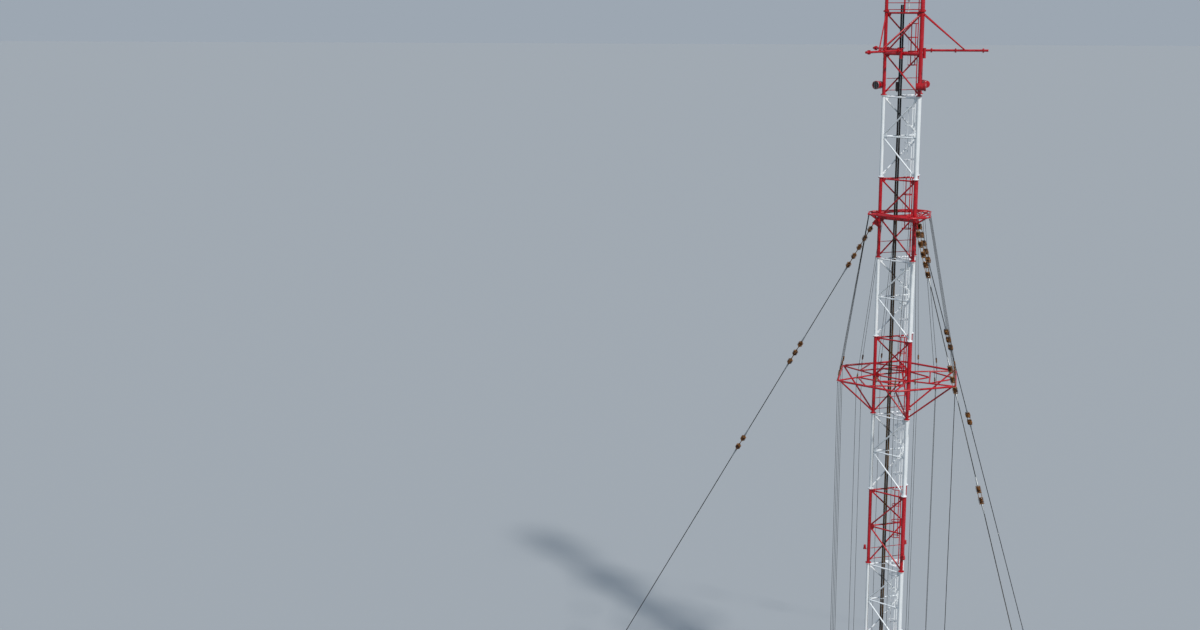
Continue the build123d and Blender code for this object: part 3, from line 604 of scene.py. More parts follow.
def tongued(starts, ends, radius, out, gaps=(0.086, 0.086), tongue=0.10):
    """Tubes between nodes, their ends drawn to tongues on both faces of a plate square to out.
    The gaps are left free from each node to its tongue."""
    starts, ends = rows(starts), rows(ends)
    way = directions(starts, ends)[0]
    out = np.broadcast_to(np.asarray(out, float), way.shape)
    across = np.cross(out, way)
    near, far = ([(gap + tongue * step, radius * share) for step, share in SHOULDER] for gap in gaps)
    pieces = [bars(starts, ends, from_start(*near) + from_end(*far), 16)]
    shift = tongue * TONGUE_MIDDLE
    sizes = (tongue * 1.1, min(1.9 * radius, TONGUE_WIDTH), TONGUE)
    for middle in (starts + way * (gaps[0] + shift), ends - way * (gaps[1] + shift)):
        for face in (out, -out):
            pieces.append(boxes(middle + face * (PLATE + TONGUE) / 2, way, across, sizes))
            for step in TONGUE_BOLTS:
                pieces.append(bolts(middle + way * step * tongue + face * (PLATE / 2 + TONGUE), face))
    return together(*pieces)


# %% Plates at the nodes


def gusset(centre, ways, reach, half_width, out):
    """Plate round a node. Each arm ends in two corners, P = reach w +- half width n, for its way
    w and the n square to it, sorted by their turn round the normal out."""
    ways = [unit(np.asarray(way, float)) for way in ways]
    first = ways[0]
    second = np.cross(out, first)
    turns = sorted(atan2(way @ second, way @ first) % (2 * pi) for way in ways)
    outline = []
    for a, following in zip(turns, turns[1:] + turns[:1]):
        along, side = np.array([cos(a), sin(a)]), np.array([-sin(a), cos(a)])
        outline += [along * reach - side * half_width, along * reach + side * half_width]
        gap = (following - a) % (2 * pi) or 2 * pi
        if gap > BULGE:
            half = a + gap / 2
            outline.append(np.array([cos(half), sin(half)]) * half_width * 1.1)
    return plates(outline, centre, first, second, PLATE)


def strut(start, end, radius, gaps, tongue, reaches, half_widths):
    """Slanted tube with a plate at each end, square to the level way across the tube."""
    normal = unit(np.cross(end - start, UP))
    return together(tongued(start, end, radius, normal, gaps, tongue),
                    gusset(start, [end - start], reaches[0], half_widths[0], normal),
                    gusset(end, [start - end], reaches[1], half_widths[1], normal))


# %% [markdown]
# ## Bracing
# Each side of a section has a level tube near its head and one at half height, and two diagonals
# that run to the same leg, so the side shows a "<". The first and third sections have a heavy
# ring beam at half height instead, which carries the booms and the pull of the guys. All sides
# are alike, so one side is made at the foot, square to +X, then turned to the other two and
# lifted to each section. Drawing each bar where it stands would take many times the numbers.

# %% Bracing
BEAM_CAP = 0.058
NODE_PLATE = (0.185, 0.034)     # reach and half width
NODE_SHIFT = 0.02


def side_lattice(heavy):
    """One braced side on the +X face, from z 0 to the section's height."""
    half, out = FACE / 2, np.array([1.0, 0.0, 0.0])
    heights = (NODE_INSET, SECTION / 2, SECTION - NODE_INSET)
    left, right = ([np.array([SIDE, y, z]) for z in heights] for y in (-half, half))
    runs = [(left[2], right[2]), (right[2], left[1]), (left[1], right[0])]
    pieces = []
    if heavy:
        rings = both_ends((BEAM_CAP, BEAM_RADIUS - 0.004), (BEAM_CAP + 0.004, BEAM_RADIUS))
        pieces.append(bars(left[1], right[1], rings, 24))
    else:
        runs.append((left[1], right[1]))
    pieces.append(tongued([a for a, _ in runs], [b for _, b in runs], BRACE_RADIUS, out))
    flat = np.array([0.0, 1.0, 0.0])
    down, rise = left[1] - right[2], right[0] - left[1]
    nodes = [(left[2], [flat]), (right[2], [-flat, down]), (left[1], [flat, -down, rise]),
             (right[1], [-flat]), (right[0], [-rise])]
    for centre, ways in nodes:
        inward = np.sign(-centre[1]) * flat
        pieces.append(gusset(centre + inward * NODE_SHIFT, ways, *NODE_PLATE, out))
    return together(*pieces)


LATTICE = {heavy: at_sides(side_lattice(heavy)) for heavy in (False, True)}
for number in range(SECTIONS):
    put(f"bracing_{number + 1}", moved(LATTICE[number in HEAVY], UP * section_base(number)),
        BANDS[number % 2], f"section_{number + 1}_bracing")

# %% [markdown]
# ## Guy ring and outriggers
# Three frames stand out from the legs: a small ring where the guys start and two large ones that
# spread the cage wires. Seen from above each has a triangle out from every leg and, between two
# triangles, a panel of two level tubes with two Vs. A strut from below carries each corner. A
# list of all the tubes' ends would hide the symmetry. One triangle and one panel, each turned
# twice more, show it, and the same function serves the ring and both outriggers.

# %% Guy ring and outriggers
ARM = 0.028            # radius of the tubes inside a frame
STEM_GAPS, EDGE_GAPS, FOOT_GAPS = (0.062, 0.035), (0.035, 0.035), (0.075, 0.02)
STRUT_GAPS = (0.07, 0.01)
STEM_PLATE, CORNER_PLATE, FOOT_PLATE, MIDDLE_PLATE = 0.085, 0.05, 0.09, 0.03     # past the tongue
SETBACK = 0.09         # from a corner to the head of its strut


def leg_triangle(stem, corners, far, drop, edge, tongue):
    """Two arms out from a leg, the rim between them and the struts that carry both corners."""
    ways = [corner - stem for corner in corners]
    pieces = [tongued([stem, stem], corners, ARM, UP, STEM_GAPS, tongue),
              tongued(*corners, edge, UP, EDGE_GAPS, tongue),
              gusset(stem + [NODE_SHIFT, 0, 0], ways, tongue + STEM_PLATE, ARM, UP)]
    foot = stem - UP * drop
    for way, (own, other), across in zip(ways, (corners, corners[::-1]), (far * MIRROR, far)):
        pieces.append(gusset(own, [-way, other - own, across], tongue + CORNER_PLATE, edge, UP))
        pieces.append(strut(foot, own - unit(way) * SETBACK, ARM * 1.1, STRUT_GAPS, tongue,
                            [gap + tongue for gap in STRUT_GAPS], (ARM, ARM)))
    return together(*pieces)


def side_panel(foot, knee, corner, edge, tongue):
    """Panel between two triangles: two level tubes with a V on each side of the middle."""
    inner, outer = knee * [1, 0, 1], corner * [1, 0, 1]
    pieces = [tongued(corner * MIRROR, corner, edge, UP, EDGE_GAPS, tongue),
              tongued(knee * MIRROR, knee, ARM, UP, (ARM, ARM), tongue)]
    for flip in (1.0, MIRROR):
        a, b, c = foot * flip, knee * flip, corner * flip
        pieces += [tongued([a, b], [inner, outer], ARM, UP, FOOT_GAPS, tongue),
                   gusset(b, [c - b, a - b, outer - b, inner - b], tongue + CORNER_PLATE, ARM, UP),
                   gusset(a, [inner - a], tongue + FOOT_PLATE, ARM, UP)]
    for middle, near, far in ((inner, foot, knee), (outer, knee, corner)):
        ends = (near, near * MIRROR, far, far * MIRROR)
        pieces.append(gusset(middle, [end - middle for end in ends], tongue + MIDDLE_PLATE, ARM, UP))
    return together(*pieces)


# %% One frame from its corners


def spreader(z, reach, half_side, knee_reach, drop, edge, tongue):
    """Tubes and node plates of one frame, from the same points as the model's own; the tubes of
    the outer edge have a radius of their own."""
    stem = np.array([LEG_CIRCLE, 0, z])
    corners = [np.array([reach, side * half_side, z]) for side in (-1, 1)]
    radius, swing = hypot(reach, half_side), degrees(atan2(half_side, reach))
    far = point(radius, 120 - swing, z) - corners[1]
    foot, corner = point(LEG_CIRCLE, 60, z), point(radius, 60 - swing, z)
    knee = foot + (corner - foot) * ((knee_reach - foot[0]) / (corner[0] - foot[0]))
    return [at_legs(leg_triangle(stem, corners, far, drop, edge, tongue)),
            at_sides(side_panel(foot, knee, corner, edge, tongue))]


frame_z = {"guy_ring": RING_Z, "upper_outrigger": STAR_LEVELS[0], "lower_outrigger": STAR_LEVELS[1]}
ring_sizes = (RING_REACH, RING_HALF, 0.640, 0.300, RING_RIM, 0.07)
star_sizes = (STAR_REACH, STAR_HALF, 1.200, SECTION / 2 - NODE_INSET, STAR_RIM, 0.09)
for name, z in frame_z.items():
    put(name + "_tubes", spreader(z, *(ring_sizes if z == RING_Z else star_sizes)), RED, name)

# %% [markdown]
# ## Booms
# Each boom turns on a hinge post that is strapped to the ring beam. It is a plain tube with
# turned collars for wire clamps and a closed end, and two struts from the heads of the legs hold
# it level. The collars could be loose rings pushed over the tube. As steps in the tube's own
# outline they leave no hidden faces and no seams.

# %% Booms
BOOM_Z = TOP_Z - SECTION / 2 + 0.115
BOOM, BOOM_END = 0.0415, 2.79
BOOM_COLLARS = (0.790, 1.640, 2.610)
BOOM_CAP = 0.030
HINGE_X = SIDE + 0.1181
HINGE_LOW, HINGE_HIGH = BOOM_Z - 0.285, BOOM_Z + 0.085
STRUT_X = 1.985
COLLAR = ((0, BOOM), (0, 0.076), (0.004, 0.080), (0.020, 0.080), (0.024, 0.070), (0.031, 0.070),
          (0.035, 0.080), (0.051, 0.080), (0.055, 0.076), (0.055, BOOM))
collars = [(place - HINGE_X - COLLAR[-1][0] / 2 + shift, radius)
           for place in BOOM_COLLARS for shift, radius in COLLAR]
cap = ((0, BOOM), (0.004, BOOM + 0.004), (BOOM_CAP, BOOM + 0.004), (BOOM_CAP + 0.004, BOOM))
tube = bars((HINGE_X, 0, BOOM_Z), (BOOM_END, 0, BOOM_Z),
            from_start((0, BOOM), *collars) + from_end(*cap), 24)
post = upright((HINGE_X, 0), HINGE_LOW, HINGE_HIGH,
               both_ends((0, 0.050), (0.004, 0.054), (0.004, 0.064), (0.018, 0.064), (0.018, 0.054)))
straps = []
for z in (HINGE_HIGH - 0.015, HINGE_LOW + 0.155):
    straps += [box((HINGE_X - 0.075, 0, z), (0.12, 0.11, 0.012)),
               bolts([(HINGE_X - 0.09, y, z + 0.006) for y in (-0.035, 0.035)], UP)]
put("boom_tubes", at_sides(tube, post, *straps), RED, "booms")

end = np.array([STRUT_X, 0, BOOM_Z])
struts = [strut(point(LEG_CIRCLE, turn, TOP_Z - NODE_INSET), end, 0.024, (0.078, 0.045), 0.07,
                (0.15, 0.12), (0.028, 0.026)) for turn in (-60, 60)]
put("boom_strut_tubes", at_sides(*struts), RED, "boom_struts")

# %% [markdown]
# ## Top rails and platforms
# The top platform is a bar grating in an angle frame. Its handrail is three tubes with a post in
# the middle of each side. The rest platforms lower down are nearly closed plates with a raised
# kick edge and stiffeners below, each with two guard rails along two of its sides. A grating
# could be a picture with see-through gaps, but only real bars cast the right shadows and are
# there in the mesh. Each bar is cut where its line crosses the outline or a hatch.

# %% Gratings and plates
DECK = 0.010
DECK_INSET = 0.007
RAIL = 0.0125
TOP_RAILS, POST_HEAD = (0.060, 0.300, 0.535), 0.548      # above the joint of the section
REST_RAILS, REST_RAIL_INSET = (0.175, 0.600), 0.045
RAIL_CUFF = (LEG_RADIUS, 0.068, 20)


def crossings(outline, value, axis):
    """Where a line x = value or y = value enters and leaves an outline, in pairs."""
    found = []
    for a, b in zip(outline, outline[1:] + outline[:1]):
        if (a[axis] - value) * (b[axis] - value) < 0:
            share = (value - a[axis]) / (b[axis] - a[axis])
            found.append(a[1 - axis] + share * (b[1 - axis] - a[1 - axis]))
    found.sort()
    return list(zip(found[::2], found[1::2]))


def without(spans, holes):
    """Spans with the holes taken out of them."""
    for low, high in holes:
        parts = [part for a, b in spans for part in ((a, min(b, low)), (max(a, high), b))]
        spans = [(a, b) for a, b in parts if b > a]
    return spans


def flat_bar(start, end, z, height, thickness):
    """Flat bar on edge between two plan points, with its lower edge at z."""
    start, end = np.array(start), np.array(end)
    length = np.linalg.norm(end - start)
    return boxes((*(start + end) / 2, z + height / 2), (*(end - start) / length, 0), UP,
                 (length, height, thickness))


def grating(outline, holes, z, pitch, axis, thickness, height):
    """Flat bars on edge across an outline, left out over its holes."""
    values = [p[axis] for p in outline]
    pieces = []
    for value in np.arange(min(values) + pitch / 2, max(values), pitch):
        cuts = [span for hole in holes for span in crossings(hole, value, axis)]
        for span in without(crossings(outline, value, axis), cuts):
            start, end = [(value, at) if axis == 0 else (at, value) for at in span]
            pieces.append(flat_bar(start, end, z, height, thickness))
    return together(*pieces)


# %% Rims and plan points


def square_to(run, inside):
    """Plan direction square to a run, on the side that another direction points to."""
    normal = unit(np.array([-run[1], run[0]]))
    return normal if normal @ inside > 0 else -normal


def rim(outline, z, height, thickness):
    """Flat bars on edge along an outline, just inside it."""
    pieces = []
    for a, b in zip(outline, outline[1:] + outline[:1]):
        a, b = np.array(a), np.array(b)
        shift = square_to(b - a, np.mean(outline, axis=0) - a) * thickness / 2
        pieces.append(flat_bar(a + shift, b + shift, z, height, thickness))
    return together(*pieces)


def plan(x, y, turn=0.0):
    """Plan point turned about the mast axis: x' = x cos a - y sin a, y' = x sin a + y cos a."""
    a = radians(turn)
    return (x * cos(a) - y * sin(a), x * sin(a) + y * cos(a))


def side_point(inset, turn, share):
    """Plan point just inside a side, a share of the way from its first leg to its second."""
    return plan(SIDE - inset, (share - 0.5) * FACE, turn)


def rectangle(low, high, turn=0.0):
    """Corners of a plan rectangle, turned about the mast axis."""
    corners = ((low[0], low[1]), (high[0], low[1]), (high[0], high[1]), (low[0], high[1]))
    return [plan(x, y, turn) for x, y in corners]


# %% Top platform and its rails
HATCH = rectangle((0.020, 0.025), (0.325, 0.335))
FEEDER_X, FEEDER_Y, FEEDER_GAP = SIDE - 0.102, 0.144, 0.084
FEEDER_TURN = 120
feeder_room = rectangle((FEEDER_X - 0.046, FEEDER_Y - 0.088), (FEEDER_X + 0.046, FEEDER_Y + 0.088),
                        FEEDER_TURN)
deck_outline = [side_point(DECK_INSET, turn, share) for turn in SIDE_TURNS for share in (0.06, 0.94)]
level = floor_level(0)
holes = [HATCH, feeder_room]
deck = [grating(deck_outline, holes, level, 0.020, 0, 0.0025, DECK),
        grating(deck_outline, holes, level + 0.003, 0.050, 1, 0.003, DECK - 0.004),
        rim(deck_outline, level, DECK, 0.006), rim(HATCH, level, DECK, 0.005),
        rim(feeder_room, level, DECK, 0.005)]
put("platform_grating", deck, RED, "top_platform")

half = FACE / 2
pieces = [upright((SIDE, 0), level, TOP_Z + POST_HEAD,
                  from_start((0, 0.0185)) + from_end((0, 0.014), (0.004, 0.0185)), 16)]
for z in (TOP_Z + rise for rise in TOP_RAILS):
    pieces.append(bars((SIDE, -half, z), (SIDE, half, z), both_ends((0.060, RAIL)), 12))
    pieces += [cuff((SIDE, y), z, 0.014, *RAIL_CUFF) for y in (-half, half)]
    pieces.append(box((SIDE, 0, z), (0.036, 0.050, 0.026)))
    pieces.append(bolts([(SIDE + 0.018, y, z) for y in (-0.018, 0.018)], (1, 0, 0), 0.005, 0.005))
put("handrails", at_sides(*pieces), RED, "top_rails")

# %% Rest platforms and their rails
FLOOR_OUTLINE = [side_point(DECK_INSET, 120, 0.06), side_point(DECK_INSET, 120, 0.52), (-0.05, -0.06),
                 side_point(DECK_INSET, 0, 0.20), side_point(DECK_INSET, 0, 0.94)]
floors, guards = [], []
for index in REST:
    level, joint = floor_level(index), section_base(index) + SECTION
    floors += [grating(FLOOR_OUTLINE, [HATCH], level, 0.0125, 1, 0.0115, 0.0035),
               grating(FLOOR_OUTLINE, [HATCH], level - 0.020, 0.150, 0, 0.006, 0.020),
               rim(FLOOR_OUTLINE, level - 0.012, 0.042, 0.005), rim(HATCH, level - 0.012, 0.030, 0.005)]
    for turn in (0, 120):
        for z in (joint + rise for rise in REST_RAILS):
            ends = [(*side_point(REST_RAIL_INSET, turn, share), z) for share in (0, 1)]
            guards.append(bars(*ends, both_ends((0.075, RAIL)), 12))
            guards += [cuff(side_point(0.0, turn, share), z, 0.012, *RAIL_CUFF) for share in (0, 1)]
put("rest_floors", floors, WHITE, "rest_platforms")
put("guard_rails", guards, RED, "rest_rails")

# %% [markdown]
# ## Ladder and cage
# The ladder is painted with the bands, so its pieces are sorted by the colour of the section they
# stand in. The cage hoops are flat bars that follow the model's own hoops, and a bolt holds each
# hoop to each upright flat. A hoop could be a bent box, but steel is bent round a radius: its
# path is rounded by a short curve at each corner, and the flat bar is carried along it.

# %% Sizes and colours of the ladder
LADDER_X, LADDER_Y, LADDER_HALF = 0.290, 0.180, 0.105
STILE = (0.030, 0.012)
PITCH = SECTION / 18


def band_of(z):
    """0 in a red band and 1 in a white one; what stands above the top or under it is red."""
    index = int((TOP_Z - z) // SECTION)
    return 0 if index < 0 or index >= SECTIONS else index % 2


def split(low, high):
    """Cuts a height range at the band limits and gives each part with its colour."""
    joints = [z for z in (section_base(k) for k in range(SECTIONS)) if low < z < high]
    limits = sorted([low, high] + joints)
    return [(a, b, band_of((a + b) / 2)) for a, b in zip(limits, limits[1:])]


def put_bands(name, pieces, *nodes):
    """Puts the red and the white pieces of one thing, each list in its own paint."""
    for one, finished in zip(pieces, BANDS):
        put(f"{name}_{finished[1][:-6]}", one, finished, *nodes)


# %% Ladder
ladder = [[], []]
foot, head = BASE_Z + 2 * PITCH, TOP_Z + TOP_POST
for side in (-1, 1):
    y = LADDER_Y + side * (LADDER_HALF + STILE[1] / 2)
    for low, high, colour in split(foot, head):
        ladder[colour].append(box((LADDER_X, y, (low + high) / 2), (*STILE, high - low)))
    for number, z, radius in level_tubes():
        start, end = LADDER_X - 0.012, SIDE - radius + 0.003
        nuts = [(LADDER_X + step, y + side * 0.0105, z) for step in (-0.006, 0.009)]
        ladder[number % 2] += [box(((start + end) / 2, y + side * 0.008, z), (end - start, 0.005, 0.036)),
                               box((end - 0.004, y + side * 0.002, z), (0.006, 0.040, 0.040)),
                               bolts(nuts, (0, side, 0), 0.0055, 0.005)]
rung_half = LADDER_HALF + 0.014
steps = np.arange(int(round((head - foot) / PITCH, 6)))
for z in foot + (steps + 0.5) * PITCH:
    ends = [(LADDER_X, LADDER_Y + side * rung_half, z) for side in (-1, 1)]
    ladder[band_of(z)].append(bars(*ends, plain(0.007, 0.0015), 10))
put_bands("ladder", ladder, "ladder")


# %% Bent flat bars


def strip(path, low, high, thickness):
    """Flat bar on edge along an open plan path p. Its other face is p + t n, where t is the
    thickness and n is square to the path on its left."""
    run = unit(np.gradient(path, axis=0))
    inside = path + np.stack([-run[:, 1], run[:, 0]], 1) * thickness
    lines = [np.column_stack([line, np.full(len(path), z)])
             for line, z in ((path, low), (inside, low), (inside, high), (path, high))]
    start = np.arange(len(path) - 1)[:, None] * 4
    quads = [np.column_stack([start + k, start + (k + 1) % 4, start + 4 + (k + 1) % 4, start + 4 + k])
             for k in range(4)]
    ends = [np.array([[3, 2, 1, 0]]), np.array([[0, 1, 2, 3]]) + (len(path) - 1) * 4]
    return shape(np.stack(lines, 1), quads + ends)


def rounded(corners, share=0.42, steps=7):
    """Open path with rounded corners c, each a curve from a to b, which lie a share of the way
    to its neighbours: P = a (1 - s)^2 + 2 c s (1 - s) + b s^2."""
    path = [corners[0]]
    for before, here, after in zip(corners, corners[1:], corners[2:]):
        a, b = here + (before - here) * share, here + (after - here) * share
        path += [a * (1 - s) ** 2 + 2 * here * s * (1 - s) + b * s ** 2 for s in np.linspace(0, 1, steps)]
    return np.array(path + [corners[-1]])


# %% Cage
HOOP, TIE = 0.030, 0.028
CAGE_PITCH, CAGE_HEADROOM, CAGE_TOP_GAP = 0.600, 1.100, 0.420
cage_half = [(0, 0.110), (0.120, 0.180), (0.320, 0.090)]
cage_front = LADDER_X - STILE[0] / 2
corners = [np.array([cage_front - u, LADDER_Y + v])
           for u, v in cage_half + [(u, -v) for u, v in reversed(cage_half)]]
hoop_path = rounded(corners)
ties = []
for a, b in zip(corners, corners[1:]):
    inside = np.array([LADDER_X - 0.16, LADDER_Y]) - (a + b) / 2
    ties.append(((a + b) / 2, unit(b - a), square_to(b - a, inside)))

cage = [[], []]
floors_down = [TOP_Z] + [floor_level(index) for index in REST] + [BASE_Z]
for floor_above, floor_below in zip(floors_down, floors_down[1:]):
    low, high = floor_below + CAGE_HEADROOM, floor_above - CAGE_TOP_GAP
    count = max(2, round((high - low) / CAGE_PITCH) + 1)
    for z in low + np.arange(count) * (high - low - HOOP) / (count - 1):
        heads = [((*middle + normal * 0.009, z + HOOP / 2), (*normal, 0)) for middle, _, normal in ties]
        cage[band_of(z)] += [strip(hoop_path, z, z + HOOP, 0.005)]
        cage[band_of(z)] += [bolts(head, way, 0.0045, 0.004) for head, way in heads]
    for middle, way, normal in ties:
        for a, b, colour in split(low, high):
            cage[colour].append(boxes((*middle + normal * 0.0075, (a + b) / 2), (*way, 0), UP,
                                      (TIE, b - a, 0.005)))
put_bands("cage", cage, "ladder_cage")

# %% [markdown]
# ## Beacon, feeders and lamps
# The post on the top platform carries a steel cabinet with a hinged door, a red obstruction lamp
# and a lightning rod. Two black feeder pipes hang on the far side in saddles. The drum lamps on
# the legs have a bezel and a dark glass at the outer end. Nearly all of it is turned or folded
# from sheet, so outlines turned round an axis and plain boxes come closest to how it is made.
# The glass is a piece of its own, because it needs another finish.

# %% Beacon
BEACON = (-0.060, -0.270)
bx, by = BEACON
deck_z = floor_level(0) + DECK
box_low, lamp_low = deck_z + 0.420, deck_z + 0.660
hinge = plain(0.0035, 0.001)
stem = (from_start((0, 0.055), (0.008, 0.055), (0.008, 0.027), (0.014, 0.024))
        + from_end((0, 0.050), (0.014, 0.050), (0.014, 0.024)))
CABINET = (((0, 0, 0.115), (0.222, 0.142, 0.230)),                # body: middle and sizes
           ((0, 0, 0.235), (0.230, 0.150, 0.010)),                # lid
           ((0, -0.073, 0.112), (0.196, 0.004, 0.200)),           # door
           ((0.080, -0.0748, 0.115), (0.010, 0.004, 0.040)))      # handle
steel = [upright(BEACON, deck_z, box_low, stem, 20),
         bolts(circle(BEACON, 0.042, 4, deck_z + 0.008, 45), UP, 0.006, 0.006)]
steel += [box((bx + x, by + y, box_low + z), sizes) for (x, y, z), sizes in CABINET]
steel += [upright((bx - 0.099, by - 0.0735), box_low + z, box_low + z + 0.03, hinge, 10)
          for z in (0.05, 0.15)]
put("beacon_cabinet", steel, GREY_BOX, "beacon")
lamp = from_start((0, 0.056), (0.018, 0.056), (0.018, 0.050), (0.024, 0.048), (0.030, 0.050),
                  (0.034, 0.048), (0.115, 0.046), (0.130, 0.040), (0.142, 0.028), (0.148, 0.012),
                  (0.150, 0.004))
put("beacon_lamp", upright((bx + 0.030, by), lamp_low, lamp_low + 0.150, lamp), LAMP_RED, "beacon")
rod = (from_start((0, 0.020), (0.012, 0.020), (0.012, 0.0075)) + [(0.6, 0, 0.0075), (0.6, 0, 0.0055)]
       + from_end((0, 0.0008), (0.05, 0.0055)))
put("lightning_rod", upright((bx - 0.085, by), lamp_low, deck_z + 1.100, rod, 12), ZINC, "beacon")

# %% Feeders and their supports
FEEDER = 0.0335
feeder_rings = (from_start((0, 0.030), (0.004, 0.033))
                + from_end((0, 0.030), (0.004, FEEDER), (0.058, FEEDER), (0.060, 0.033)))
lanes = [(FEEDER_X, FEEDER_Y + side * FEEDER_GAP / 2) for side in (-1, 1)]
feeder = [upright(lane, BASE_Z + SECTION / 6, TOP_Z + 0.230, feeder_rings) for lane in lanes]
put("feeders", turned(together(*feeder), FEEDER_TURN), SHEATH, "feeder_lines")

saddles = [[], []]
for number, z, radius in level_tubes():
    near, far = FEEDER_X + 0.031, SIDE - radius + 0.004
    saddles[number % 2].append(box(((near + far) / 2, FEEDER_Y, z), (far - near, 0.140, 0.036)))
    saddles[number % 2] += [cuff(lane, z, 0.014, FEEDER, 0.0365, 24, 0.001) for lane in lanes]
box_z, box_y = TOP_Z - SECTION + 0.300, FEEDER_Y + 0.1184
coupler = together(box((FEEDER_X, box_y, box_z), (0.078, 0.088, 0.326)),
                   box((FEEDER_X, box_y, box_z + 0.1625), (0.084, 0.092, 0.005)),
                   upright((FEEDER_X, box_y), box_z - 0.200, box_z - 0.160, both_ends((0, 0.018)), 16))
put("coupler_box", turned(coupler, FEEDER_TURN), FORGED, "feeder_supports")
put_bands("feeder_saddles", [turned(together(*one), FEEDER_TURN) for one in saddles], "feeder_supports")

# %% Drum lamps
LAMP_Z = TOP_Z - SECTION + 0.360
LAMP_CIRCLE, LAMP_FORWARD = 1.094, 0.115
LAMP_LENGTH = 0.350


def wheel(x, radius, count):
    """Points on a circle round the X axis: y = r cos a, z = r sin a."""
    a = np.arange(count) * 2 * pi / count
    return np.stack([np.full(count, x), radius * np.cos(a), radius * np.sin(a)], 1)


def at_lamp(one):
    """Puts a lamp piece beside each leg: the lamp looks square to a side of the mast."""
    return at_legs(moved(turned(moved(one, [LAMP_FORWARD, 0, 0]), 60), [LAMP_CIRCLE, 0, LAMP_Z]))


drum = bars((-LAMP_LENGTH, 0, 0), (0, 0, 0),
            from_start((0, 0.100), (0.004, 0.120), (0.014, 0.132), (0.060, 0.135), (0.060, 0.139),
                       (0.070, 0.139), (0.070, 0.135), (0.290, 0.135), (0.290, 0.152), (0.294, 0.155),
                       (0.346, 0.155), (0.350, 0.152), (0.350, 0.137), (0.336, 0.134)), 40)
glass = bars((-0.015, 0, 0), (-0.003, 0, 0),
             from_start((0, 0.135), (0.004, 0.128)) + from_end((0, 0.030), (0.003, 0.090)), 40)
guard = [bars((0.004, y, -0.130), (0.004, y, 0.130), both_ends((0, 0.004)), 8) for y in (-0.045, 0.045)]
hoop = wheel(0.003, 0.139, 40)
ring = bars(hoop, np.roll(hoop, -1, axis=0), both_ends((0, 0.0055)), 8)
studs = bolts(wheel(-0.003, 0.1445, 12), (1, 0, 0), 0.0045, 0.003)
arm_start, arm_end = LEG_CIRCLE + 0.055, LAMP_CIRCLE - 0.120
mount = [box(((arm_start + arm_end) / 2, 0, LAMP_Z), (arm_end - arm_start, 0.068, 0.068)),
         cuff(LEG, LAMP_Z, 0.034, LEG_RADIUS, 0.069, 24)]
put("drum_lamps", [at_lamp(drum), at_legs(*mount)], LAMP_RED, "warning_lamps")
put("lamp_guards", at_lamp(together(*guard, ring, studs)), ZINC, "warning_lamps")
put("lamp_glass", at_lamp(glass), LENS, "warning_lamps")

# %% Marker lamps
marker_z = TOP_Z - 7 * SECTION + 0.550
arm_start, arm_end = LEG_CIRCLE + 0.058, LEG_CIRCLE + LEG_RADIUS + 0.150
arm = box(((arm_start + arm_end) / 2, 0, marker_z), (arm_end - arm_start, 0.025, 0.022))
marker = upright((arm_end - 0.060, 0), marker_z + 0.0125, marker_z + 0.1825,
                 from_start((0, 0.054), (0.002, 0.058), (0.028, 0.058), (0.030, 0.052), (0.040, 0.048),
                            (0.046, 0.053), (0.052, 0.048), (0.130, 0.048), (0.150, 0.040),
                            (0.162, 0.026), (0.168, 0.010), (0.170, 0.003)), 28)
put("marker_lamps", at_legs(arm, marker), LAMP_RED, "warning_lamps")

# %% [markdown]
# ## Cage wires
# From the guy ring a cage of wires spreads to the upper outrigger and then drops to the lower
# one. Above the upper outrigger each wire is broken by a small ribbed insulator. Curves with a
# thickness would do, but the wires are taut and straight, so all of them come from arrays of
# their ends in a few calls, with few sides, because a wire is hardly a pixel wide in the photo.

# %% Points and outlines of the wires
WIRE, WIRE_LUG = 0.007, 0.070
WIRE_BODY, BODY_GAP = 0.200, 0.160
SEAT = 0.002           # how far a wire's lug reaches into its tube


def side_points(reach, half_side):
    """Corners of a frame and the thirds of its sides, in plan."""
    radius, swing = hypot(reach, half_side), degrees(atan2(half_side, reach))
    corners = [point(radius, turn + side * swing) for turn in LEG_TURNS for side in (-1, 1)]
    sides = zip(corners, corners[1:] + corners[:1])
    return np.array([a + (b - a) * share for a, b in sides for share in (0, 1 / 3, 2 / 3)])


def sheds(length, core, radius, count, foot):
    """Turned outline of a ribbed insulator: for each shed a steep underside and a sloped top."""
    step, cap = (length - 2 * foot) / count, core * 1.15
    shed = ((0.16, core), (0.30, radius * 0.97), (0.40, radius), (0.50, radius * 0.96),
            (0.80, core * 1.05))
    ribs = [(foot + (k + share) * step, size) for k in range(count) for share, size in shed]
    return from_start((0, cap), (foot, cap), (foot, core), *ribs,
                      (length - foot, core), (length - foot, cap), (length, cap))


# %% Wires and their insulators
inner = side_points(RING_REACH, RING_HALF) + UP * (RING_Z - RING_RIM + SEAT)
star = side_points(STAR_REACH, STAR_HALF)
outer = star + UP * (STAR_LEVELS[0] + STAR_RIM - SEAT)
drop_high = star + UP * (STAR_LEVELS[0] - STAR_RIM + SEAT)
drop_low = star + UP * (STAR_LEVELS[1] + STAR_RIM - SEAT)
way = unit(outer - inner)
body_low, body_high = outer - way * BODY_GAP, outer - way * (BODY_GAP + WIRE_BODY)
wires = [bars(a, b, both_ends((0, WIRE)), 8)
         for a, b in ((inner, body_high), (body_low, outer), (drop_high, drop_low))]
lug = from_start((0, 0.008), (0.002, 0.012), (0.060, 0.012)) + from_end((0, WIRE))
for places, sense in ((inner, way), (outer, -way), (drop_high, -UP), (drop_low, UP)):
    wires.append(bars(places, places + sense * WIRE_LUG, lug, 10))
put("wires", wires, WIRE_ROPE, "cage_wires")
put("wire_insulators", bars(body_high, body_low, sheds(WIRE_BODY, 0.018, 0.034, 6, 0.022), 16),
    SMALL_PORCELAIN, "cage_wire_insulators")

